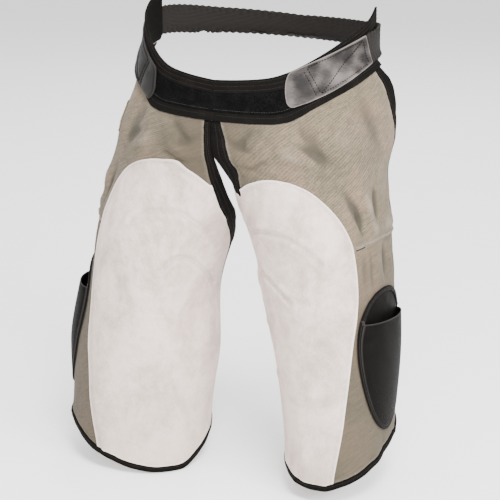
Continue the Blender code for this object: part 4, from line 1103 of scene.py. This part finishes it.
def clipped_line(line, top, bottom):
    """The part of a line below one line and above another, cut exactly where it meets them."""
    fine = read_at(np.linspace(0, len(line) - 1, FINER * len(line)), np.arange(len(line)), line)
    fine = fine[(fine[:, 1] < height_on(top, fine[:, 0])) & (fine[:, 1] > height_on(bottom, fine[:, 0]))]
    return np.concatenate([fine[:-1:FINER], fine[-1:]])


for side, side_name in SIDE_NAMES.items():
    lines = LINES[side]
    front_line = clipped_line(lines.front_edge, lines.yoke_bottom + (0, 0.003), lines.hem_inset)

    def front_section(at, side=side, line=front_line):
        angle, z = spot_on(side, line, at)
        below_yoke = np.clip((height_on(LINES[side].binding_low, angle) - 0.0004 - z) / TAPE_SLOPE, 0, 1)
        share = below_yoke * (1 - LINES[side].covered(z))
        low, high = (float(flat + (full - flat) * share) for flat, full in zip(FLAT_TAPE, THICK_TAPE))
        return folded_section(float(LINES[side].front_width(z)) + UNDER_TAPE, low, high)

    swept(f"front_tape_{side_name}", side, front_line, front_section, tape,
          [f"front_binding_{side_name}"], relief=puckered(0.0075))
    back_line = clipped_line(lines.back_edge, lines.binding_low, lines.hem_inset)

    def back_section(at, side=side, line=back_line):
        width = float(LINES[side].back_width(spot_on(side, line, at)[1]))
        return folded_section(width + UNDER_TAPE, *THIN_TAPE, sign=-1)

    swept(f"back_tape_{side_name}", side, back_line, back_section, tape, [f"back_binding_{side_name}"],
          relief=puckered(0.008, -1))
    hem_from = angle_on(lines.front_edge, -0.58) + 0.2
    hem_line = lines.hem[(lines.hem[:, 0] > hem_from) & (lines.hem[:, 0] < 132.8)]
    swept(f"hem_tape_{side_name}", side, hem_line, folded_section(HEM_BINDING + UNDER_TAPE, *THICK_TAPE), tape,
          [f"hem_binding_{side_name}"], relief=puckered(0.0058))

# %% [markdown]
# ## Side seam
# The hip and the shin meet in a felled seam: one edge is folded round the other and sewn down twice. It
# makes a hard ridge, and the cloth on both sides of it puckers.

# %% The side seam
SEAM_HALF = 0.0018
SEAM_SECTION = ((-SEAM_HALF, 0.0008), (-SEAM_HALF, 0.0018), (-SEAM_HALF * 0.7, 0.0032), (0, 0.0037),
                (SEAM_HALF * 0.7, 0.0032), (SEAM_HALF, 0.0018), (SEAM_HALF, 0.0008), (0, 0.0006))
for side, side_name in SIDE_NAMES.items():
    lines = LINES[side]
    seam_start = angle_on(lines.suede, -0.247)
    seam_line = lines.seam[(lines.seam[:, 0] > seam_start + 0.3) & (lines.seam[:, 0] < 121.0)]
    swept(f"side_seam_{side_name}", side, seam_line, SEAM_SECTION, canvas,
          relief=puckered(0.0, pitch=0.0072, depth=0.0005), step=0.002, wear=0.0)

# %% [markdown]
# ## Yoke
# The yoke is one shaped band across the front. It has a firm cloth behind, a tape with three rows of
# stitching along its top, loop pile in the middle for the tabs to grip, and a binding along its lower
# edge. Each of these is a strip between two lines, so we map a grid from one line to the other.

# %% A strip across the middle
YOKE_HALF, CLOTH_ROUND = 0.25, 0.0003


def share_grid(columns, rows):
    """A grid, how far each of its points is across it, from -1 to 1, and its share of the height."""
    bm = bmesh.new()
    bmesh.ops.create_grid(bm, x_segments=columns, y_segments=rows, size=1.0)
    across, share = np.array([(v.co.x, (v.co.y + 1) / 2) for v in bm.verts]).T
    return bm, across.round(6), share


def halves(side):
    """Each half with its own points. Those of the middle go with the left."""
    return (LEFT, side != RIGHT), (RIGHT, side == RIGHT)


def strip(name, low, high, out, thickness, finish, nodes, columns, rows, relief=None):
    """A joined strip over both halves. low and high name the lines that it lies between."""
    bm, across, share = share_grid(2 * columns, rows)
    side = np.sign(across).astype(int)
    angle, z = np.abs(across) * YOKE_END, np.full(len(across), -0.05)
    for _ in range(5):
        for one, mine in halves(side):
            first = centre_angle(one, z[mine])
            angle[mine] = first + np.abs(across[mine]) * (YOKE_END - first)
            low_z, high_z = (height_on(getattr(LINES[one], line), angle[mine]) for line in (low, high))
            z[mine] = low_z + share[mine] * (high_z - low_z)
    wide = height_on(getattr(LINES[LEFT], high), angle) - height_on(getattr(LINES[LEFT], low), angle)
    from_low, from_high, along_strip = share * wide, (1 - share) * wide, across * YOKE_HALF
    mark(bm, edge=np.minimum.reduce([from_low, from_high, (1 - np.abs(across)) * YOKE_HALF]))
    depth = np.full(len(across), float(out))
    if relief is not None:
        depth = depth + relief(along_strip, from_low, from_high)
    lay_out(bm, np.stack([along_strip, from_low], -1), place_joined(side, angle, z, depth),
            place_joined(side, angle, z, depth + AHEAD))
    area = total_area(bm)
    length = area / float(wide.mean())
    piece = show(bm, name, finish, nodes, thickness, CLOTH_ROUND)
    float(area / length)


def band_relief(along_strip, from_low, from_high):
    """Three sewn channels along the tape at the top of the yoke."""
    total = 0.00012 * np.sin(along_strip * 260)
    for row in BAND_ROWS:
        total -= 0.0005 * np.exp(-((from_high - row) / 0.0010) ** 2)
    return total


def pile_relief(along_strip, from_low, from_high):
    """The pile stands up in the middle and is pressed down at its edges and in rubbed spots."""
    rise = np.clip(np.minimum(from_low, from_high) / 0.004, 0, 1)
    crushed_spots = np.sin(along_strip * 190 + np.sin(from_low * 300) * 2) * np.sin(from_low * 260 + along_strip * 90)
    nap = np.sin(along_strip * 2900) * np.sin(from_low * 2500 + along_strip * 700)
    return 0.0007 * rise + 0.0003 * crushed_spots * rise + 0.00022 * nap * rise - 0.0004


def lower_relief(along_strip, from_low, from_high):
    return 0.00035 * np.sin(np.pi * np.clip(from_low / 0.012, 0, 1)) - 0.0004 * np.exp(
        -((from_low - 0.0078) / 0.001) ** 2)


BAND_ROWS = (0.0030, 0.0085, 0.0145)
YOKE_OUT, YOKE_THICK = 0.0031, 0.0016
strip("yoke_backing", "yoke_bottom", "yoke_top", CANVAS_OUT, CANVAS_THICK, tape, ["yoke_cloth"],
      110, 14)
strip("yoke_tape", "top_band", "yoke_top", YOKE_OUT, YOKE_THICK, tape, ["yoke_top_band"], 140, 16,
      band_relief)
strip("yoke_loops", "binding_top", "top_band", YOKE_OUT, YOKE_THICK, pile, ["yoke_pile"], 220, 28,
      pile_relief)
strip("yoke_lower_tape", "binding_low", "binding_top", YOKE_OUT, YOKE_THICK, tape,
      ["yoke_bottom_binding"], 140, 10, lower_relief)

# %% [markdown]
# ## Tabs and belt
# A leather tab on each end of the belt closes on the pile. The tab is cut with a round nose, its edges
# are pressed, and a box of stitches with one diagonal holds it on the belt. The belt is elastic, so it is
# ribbed, and its edges ruffle where it is at rest.

# %% The tabs
BELT_OUT, TAB_THICK, BELT_THICK = 0.0057, 0.0021, 0.0019


def tab_lean(side, angle):
    """How many degrees a cut that is square to the belt leans."""
    return math.degrees(BELT_WIDTH / float(radius(side, height_on(LINES[side].belt_low, angle)))) * TAB_LEAN


def tab_cut(side, angle):
    """A straight cut across the belt, square to it."""
    lines, lean = LINES[side], tab_lean(side, angle)
    return np.array([(angle + lean / 2, height_on(lines.belt_low, angle + lean / 2)),
                     (angle - lean / 2, height_on(lines.belt_top, angle - lean / 2))])


def tab_outline(side):
    lines, end = LINES[side], tab_cut(side, TAB_END)
    turn_angle = math.degrees(TAB_NOSE / float(radius(side, 0.0)))
    curve = [(TAB_START + turn_angle * (1 - math.cos(t)), 1 - (1 - math.sin(t)) * 0.5)
             for t in np.linspace(0, math.pi / 2, 9)]
    shares = list(reversed(curve)) + [(a, 1 - s) for a, s in curve[1:]]
    nose = np.array([(a, height_on(lines.belt_low, a) * (1 - s) + height_on(lines.belt_top, a) * s)
                     for a, s in shares])
    low = lines.belt_low[(lines.belt_low[:, 0] > nose[-1, 0] + 0.5) & (lines.belt_low[:, 0] < end[0, 0] - 0.5)]
    top = lines.belt_top[(lines.belt_top[:, 0] > nose[0, 0] + 0.5) & (lines.belt_top[:, 0] < end[1, 0] - 0.5)]
    return joined_line(nose, low, end, top[::-1])


TAB_ROW, TAB_BOX = 0.0040, (46, 81)


def tab_line(side, start, end, count=30):
    """A straight line over a tab, between two (angle, share of the width from the lower edge) points."""
    share = np.linspace(0, 1, count)
    angle = start[0] + share * (end[0] - start[0])
    part = start[1] + share * (end[1] - start[1])
    lines = LINES[side]
    angle = angle + tab_lean(side, angle.mean()) * (0.5 - part)
    low, top = height_on(lines.belt_low, angle), height_on(lines.belt_top, angle)
    return np.stack([angle, low + part * (top - low)], -1)


def tab_rows(side):
    """The sewn box with its diagonal and a second row at its front."""
    (first, last), low, high = TAB_BOX, TAB_ROW / BELT_WIDTH, 1 - TAB_ROW / BELT_WIDTH
    ends = [((first, low), (last, low)), ((last, low), (last, high)), ((last, high), (first, high)),
            ((first, high), (first, low)), ((first - 2.2, low), (first - 2.2, high)), ((first, low), (last, high))]
    return [tab_line(side, start, end) for start, end in ends]


def tab_relief(side, angle, z, edge):
    """A pressed rim, grooves along the rows, and a swell between them."""
    flat = to_flat(side, np.stack([angle, z], -1))
    sewn = np.min([nearest_on(to_flat(side, row), flat, closed=False)[1] for row in tab_rows(side)], axis=0)
    rim = 0.0004 * np.exp(-(edge / 0.0014) ** 2)
    swell = 0.0016 * (1 - np.exp(-(sewn / 0.0075) ** 2)) * np.clip(edge / 0.004, 0, 1)
    return rim - 0.0007 * np.exp(-(sewn / 0.0012) ** 2) + swell - 0.0002


for side, side_name in SIDE_NAMES.items():
    cut_piece(f"tab_{side_name}", side, tab_outline(side), BELT_OUT, TAB_THICK, tab_leather,
              [f"belt_tab_{side_name}"], tab_relief, cell=0.0018, edge_round=0.0005)

# %% The belt behind
RUFFLES, WEBBING_ROUND = 560, 0.0004


def belt_strip():
    """The elastic belt, from one tab round the back to the other."""
    bm, across, share = share_grid(300, 16)
    side = np.sign(across).astype(int)
    angle, z = np.zeros((2, len(across)))
    for one, mine in halves(side):
        end = tab_cut(one, TAB_END)
        start = end[0, 0] + share[mine] * (end[1, 0] - end[0, 0]) + 0.2
        angle[mine] = 180 - np.abs(across[mine]) * (180 - start)
        low_z, high_z = height_on(LINES[one].belt_low, angle[mine]), height_on(LINES[one].belt_top, angle[mine])
        z[mine] = low_z + share[mine] * (high_z - low_z)
    along_belt = across * 0.30
    rim = np.abs(share - 0.5) * 2
    ruffle = np.sin(along_belt * RUFFLES) * 0.0009 * rim ** 3
    ribs = 0.00022 * np.sin(share * TURN * 9)
    z = z + np.sign(share - 0.5) * np.cos(along_belt * RUFFLES + 0.6) * 0.0007 * rim ** 4
    depth = BELT_OUT + ruffle + ribs
    mark(bm, edge=(1 - rim) * BELT_WIDTH / 2)
    lay_out(bm, np.stack([along_belt, share * BELT_WIDTH], -1), place_joined(side, angle, z, depth),
            place_joined(side, angle, z, depth + AHEAD))
    area = total_area(bm)
    piece = show(bm, "belt", webbing, ["back_belt"], BELT_THICK, WEBBING_ROUND)
    float(area / BELT_WIDTH)


belt_strip()

# %% The leg straps
LEG_STRAP_Z, STRAP_WIDTH, STRAP_RISE, STRAP_OUT, STRAP_RUFFLES = -0.350, 0.028, 0.004, 0.0016, 640


def leg_strap(side):
    """An elastic strap across the open back of a leg, sewn to both bound edges."""
    lines = LINES[side]
    bm, across, share = share_grid(90, 12)
    across = (across + 1) / 2
    height = LEG_STRAP_Z + (share - 0.5) * STRAP_WIDTH
    clear = math.degrees(SEAM_GAP * 3 / float(radius(side, LEG_STRAP_Z)))
    back = angle_on(lines.back_edge, height) + clear
    front = angle_on(between(lines.front_edge, high=-0.2), height) - clear
    angle = back + across * (360 + front - back)
    along_strap, rim = across * 0.1, np.abs(share - 0.5) * 2
    waves = along_strap * STRAP_RUFFLES
    z = height + STRAP_RISE * np.sin(np.pi * across) + np.sign(share - 0.5) * 0.0005 * np.cos(waves) * rim ** 4
    depth = STRAP_OUT + 0.0005 * np.sin(waves) * rim ** 3 + 0.00015 * np.sin(share * TURN * 7)
    mark(bm, edge=(1 - rim) * STRAP_WIDTH / 2)
    lay_out(bm, np.stack([along_strap, share * STRAP_WIDTH], -1), place(side, angle, z, depth, smooth=True),
            place(side, angle, z, depth + AHEAD, smooth=True))
    area = total_area(bm)
    name = SIDE_NAMES[side]
    piece = show(bm, f"strap_{name}", webbing, [f"leg_strap_{name}"], STRAP_OUT, WEBBING_ROUND)
    float(area / STRAP_WIDTH)


for side in (RIGHT, LEFT):
    leg_strap(side)

# %% [markdown]
# ## Pockets
# A knife or pen pocket sits on the outer side of each shin. A leather egg is sewn flat on the canvas, a
# second piece makes a pouch that stands away from it, and a piped edge holds the two together. The pouch
# stands out most at its mouth and is flat at its seam.

# %% The pockets
POCKET_BACK_OUT, POCKET_BACK_THICK = 0.0029, 0.0014
POUCH_OUT, POUCH_THICK = 0.0046, 0.0014
POUCH_BULGE = {RIGHT: 0.014, LEFT: 0.012}
PIPE_LOW, PIPE_HIGH = 0.0028, 0.0048


def pouch_bulge(side, angle, z):
    """How far the pouch stands away from the leg."""
    half_height = POCKET_HALF_HEIGHT - PIPING
    widest = egg(side, PIPING)[:, 0].max() - POCKET_ANGLE[side]
    drop = np.clip((z - POCKET_Z) / half_height, -1, 1)
    swell = 1 + POCKET_TOP_SWELL * (z - POCKET_Z) / POCKET_HALF_HEIGHT
    half_width = widest * np.sqrt(1 - drop ** 2) * swell + 1e-6
    across = np.clip((angle - POCKET_ANGLE[side]) / half_width, -1, 1)
    down = np.clip((POCKET_MOUTH_Z - z) / (POCKET_MOUTH_Z - POCKET_Z + half_height), 0, 1)
    return POUCH_BULGE[side] * np.sqrt(1 - across ** 2) * (1 - down)


def pouch_relief(side, angle, z, edge):
    """The bulge, a rolled mouth and slack creases that run down from its corners."""
    span = (angle - POCKET_ANGLE[side]) / POCKET_HALF_ANGLE
    slack = 0.0006 * np.sin(span * 9 + (z - POCKET_MOUTH_Z) * 40) * np.exp(-((z - POCKET_MOUTH_Z) / 0.05) ** 2)
    rolled = 0.0005 * np.exp(-((POCKET_MOUTH_Z - z) / 0.002) ** 2)
    return pouch_bulge(side, angle, z) + (slack + rolled) * np.clip(edge / 0.006, 0, 1)


def back_relief(side, angle, z, edge):
    return 0.0002 * np.sin(angle * 0.5) * np.sin(z * 130) - 0.0002


def pouch_outline(side):
    outline = egg(side, PIPING * 0.8)
    return outline[outline[:, 1] < POCKET_MOUTH_Z]


for side, side_name in SIDE_NAMES.items():
    cut_piece(f"pocket_flat_{side_name}", side, egg(side, 0.0005), POCKET_BACK_OUT, POCKET_BACK_THICK,
              pocket_leather, [f"pocket_back_{side_name}"], back_relief, cell=0.0026)
    cut_piece(f"pouch_{side_name}", side, pouch_outline(side), POUCH_OUT, POUCH_THICK, pocket_leather,
              [f"pocket_pouch_{side_name}"], pouch_relief, cell=0.0020,
              edge_round=0.0004)
    middle, reach = (PIPING / 2, (PIPE_LOW + PIPE_HIGH) / 2), (PIPING * 0.56, (PIPE_HIGH - PIPE_LOW) * 0.55)
    pipe = [(middle[0] + reach[0] * math.cos(t), middle[1] + reach[1] * math.sin(t))
            for t in np.linspace(0, TURN, 12, endpoint=False)]
    swept(f"pocket_edge_{side_name}", side, egg(side, 0), pipe, pocket_leather,
          [f"pocket_piping_{side_name}"], closed=True)

# %% [markdown]
# ## Hip patch
# A small leather patch is sewn low on one hip. It is left bare: a plain piece of tan leather with a
# stitched edge.

# %% The hip patch
PATCH_OUT, PATCH_THICK, PATCH_CORNER = 0.0027, 0.0012, 0.15


def patch_outline():
    (a0, a1), (z0, z1) = PATCH_ANGLES, PATCH_HEIGHTS
    middle_a, half_a, middle_z, half_z = (a0 + a1) / 2, (a1 - a0) / 2, (z0 + z1) / 2, (z1 - z0) / 2
    t = np.linspace(0, TURN, 80, endpoint=False)
    across, up = (np.sign(wave) * np.abs(wave) ** PATCH_CORNER for wave in (np.cos(t), np.sin(t)))
    return np.stack([middle_a + half_a * across, middle_z + half_z * up], -1)


def patch_relief(side, angle, z, edge):
    return 0.0002 * np.exp(-(edge / 0.001) ** 2) - 0.0003 * np.exp(-((edge - 0.003) / 0.0009) ** 2)


cut_piece("patch_right", RIGHT, patch_outline(), PATCH_OUT, PATCH_THICK, patch_leather,
          ["hip_patch_right"], patch_relief, cell=0.0015)

# %% [markdown]
# ## Stitching
# A stitch is a short piece of thread whose ends go down into the cloth. Every row is a curve with one
# short spline for each stitch, thin at its ends and bent up in the middle, which becomes one light mesh.

# %% A row of stitches
THIN_THREAD, THICK_THREAD = 0.00034, 0.0006
STITCH_SHAPE = ((0.0, -0.6, 0.45), (0.22, 0.55, 1.0), (0.78, 0.55, 1.0), (1.0, -0.6, 0.45))


def stitched(name, rows, finish, pitch=0.0036, share=0.74, thickness=THIN_THREAD):
    """Rows of thread as one mesh. Each row is a side, a line of angle and height, and a depth or depths."""
    curve = bpy.data.curves.new(name, "CURVE")
    curve.dimensions, curve.bevel_depth, curve.bevel_resolution, curve.use_fill_caps = "3D", thickness, 1, True
    for side, line, out in rows:
        spots, run = spaced_line(side, np.asarray(line, float), 0.001)
        depth = np.interp(run, np.linspace(0, run[-1], np.size(out)), np.ravel(out))
        low, high = (place(side, spots[:, 0], spots[:, 1], depth + lift) for lift in (0.0, AHEAD))
        real = running(low)
        for start in np.arange(pitch * 0.3, real[-1] - pitch, pitch):
            spline = curve.splines.new("POLY")
            spline.points.add(len(STITCH_SHAPE) - 1)
            at = start + np.array([part * share * pitch for part, _, _ in STITCH_SHAPE])
            lifts = np.array([lift * thickness for _, lift, _ in STITCH_SHAPE])
            bent = read_at(at, real, low) + read_at(at, real, high - low) / AHEAD * lifts[:, None]
            points = np.c_[bent, np.ones(len(at))]
            spline.points.foreach_set("co", points.ravel())
            spline.points.foreach_set("radius", [size for _, _, size in STITCH_SHAPE])
    holder = bpy.data.objects.new(name + "_curve", curve)
    bpy.context.scene.collection.objects.link(holder)
    ready = holder.evaluated_get(bpy.context.evaluated_depsgraph_get())
    bm = bmesh.new()
    bm.from_mesh(ready.to_mesh())
    bpy.data.objects.remove(holder)
    show(bm, name, finish)
    print("  stitches", len(curve.splines))


# %% The rows on the suede and the canvas
for side, side_name in SIDE_NAMES.items():
    lines = LINES[side]
    rows = [(side, suede_curve(side, row), SUEDE_OUT - 0.0003) for row in SUEDE_ROWS]
    for arc in KNEE_LINES[side]:
        rows += [(side, inset(side, arc, share * ARC_GAP / 2), SUEDE_OUT - 0.0003) for share in (1, -1)]
    stitched(f"suede_stitches_{side_name}", rows, pale_thread)
    front_line = clipped_line(lines.front_edge, lines.binding_low, lines.hem_inset)
    if side == LEFT:
        front_line = front_line[front_line[:, 1] > COVER_RISE[0]]
    widths = lines.front_width(front_line[:, 1])
    back_line = clipped_line(lines.back_edge, lines.binding_low, lines.hem_inset)
    hem_line = lines.hem[(lines.hem[:, 0] > -125) & (lines.hem[:, 0] < 132)]
    rows = [(side, inset(side, front_line, widths - 0.0020), THICK_TAPE[1] - 0.0002),
            (side, inset(side, front_line, widths * 0.5), THICK_TAPE[1] - 0.0001),
            (side, inset(side, back_line, 0.002 - lines.back_width(back_line[:, 1])), THIN_TAPE[1] - 0.0002),
            (side, inset(side, hem_line, HEM_BINDING - 0.0022), THICK_TAPE[1] - 0.0002)]
    stitched(f"tape_stitches_{side_name}", rows, brown_thread)
    seam_line = lines.seam[(lines.seam[:, 0] > 49.5) & (lines.seam[:, 0] < 120.5)]
    rows = [(side, inset(side, seam_line, share * 0.0010), 0.0034) for share in (1, -1)]
    stitched(f"seam_stitches_{side_name}", rows, twill_thread)
    tack_line = inset(side, seam_line[seam_line[:, 0] < 61], -0.0032)
    stitched(f"seam_tack_{side_name}", [(side, tack_line, 0.0014)], black_thread, share=0.95,
             thickness=THICK_THREAD)

# %% The rows on the yoke
rows = []
for side in (RIGHT, LEFT):
    lines = LINES[side]
    top = lines.yoke_top[lines.yoke_top[:, 0] < YOKE_END - 1]
    bottom = lines.yoke_bottom[lines.yoke_bottom[:, 0] < YOKE_END - 1]
    rows += [(side, inset(side, top, -row), YOKE_OUT - 0.0003) for row in BAND_ROWS]
    rows.append((side, inset(side, bottom, 0.0048), YOKE_OUT - 0.0001))
stitched("yoke_stitches", rows, brown_thread)
rows = [(side, inset(side, LINES[side].yoke_bottom[:-3], BOTTOM_BINDING + 0.0035), YOKE_OUT + 0.0004)
        for side in (RIGHT, LEFT)]
stitched("pile_stitches", rows, grey_thread, thickness=0.00028)

# %% The rows on the leather
for side, side_name in SIDE_NAMES.items():
    rows = [(side, row, BELT_OUT - 0.0006) for row in tab_rows(side)]
    stitched(f"tab_stitches_{side_name}", rows, black_thread, pitch=0.0042, share=0.62,
             thickness=THICK_THREAD)
    rows = [(side, ringed(egg(side, 0.0026)), PIPE_HIGH - 0.0002)]
    stitched(f"pocket_stitches_{side_name}", rows, grey_thread, pitch=0.0034)
    rows = [(side, ringed(egg(side, PIPING - 0.0012)), PIPE_HIGH - 0.0009)]
    stitched(f"pocket_bead_{side_name}", rows, grey_thread, share=0.99, thickness=THICK_THREAD)
    ends = egg(side, PIPING * 0.5)
    ends = ends[np.abs(ends[:, 1] - POCKET_MOUTH_Z) < 0.004]
    corners = (ends[ends[:, 0] < POCKET_ANGLE[side]].mean(0), ends[ends[:, 0] > POCKET_ANGLE[side]].mean(0))
    rows = [(side, [corner + (step * 0.7 - 0.4, 0.0045), corner + (step * 0.7 + 0.4, -0.0045)], PIPE_HIGH)
            for corner in corners for step in (-1, 0, 1)]
    stitched(f"pocket_tacks_{side_name}", rows, grey_thread, pitch=0.004, share=0.9,
             thickness=THICK_THREAD)
middle = np.array([sum(PATCH_ANGLES) / 2, sum(PATCH_HEIGHTS) / 2])
shrunk = middle + (patch_outline() - middle) * (0.90, 0.86)
stitched("patch_stitches", [(RIGHT, ringed(shrunk), PATCH_OUT - 0.0002)], pale_thread, pitch=0.003)

# %% [markdown]
# ## The end
# The floor gets its own plain finish.

floor_finish = Finish("floor_paint", 0.9, Specular_IOR_Level=0.2)
cloudy_floor = floor_finish.noise(floor_finish.place(), 0.8, detail=2)
floor_finish.finish(floor_finish.mixed((0.92, 0.92, 0.92), (0.94, 0.94, 0.94), cloudy_floor))
floor.data.materials.append(floor_finish.material)
print("pieces:", len(PIECES))
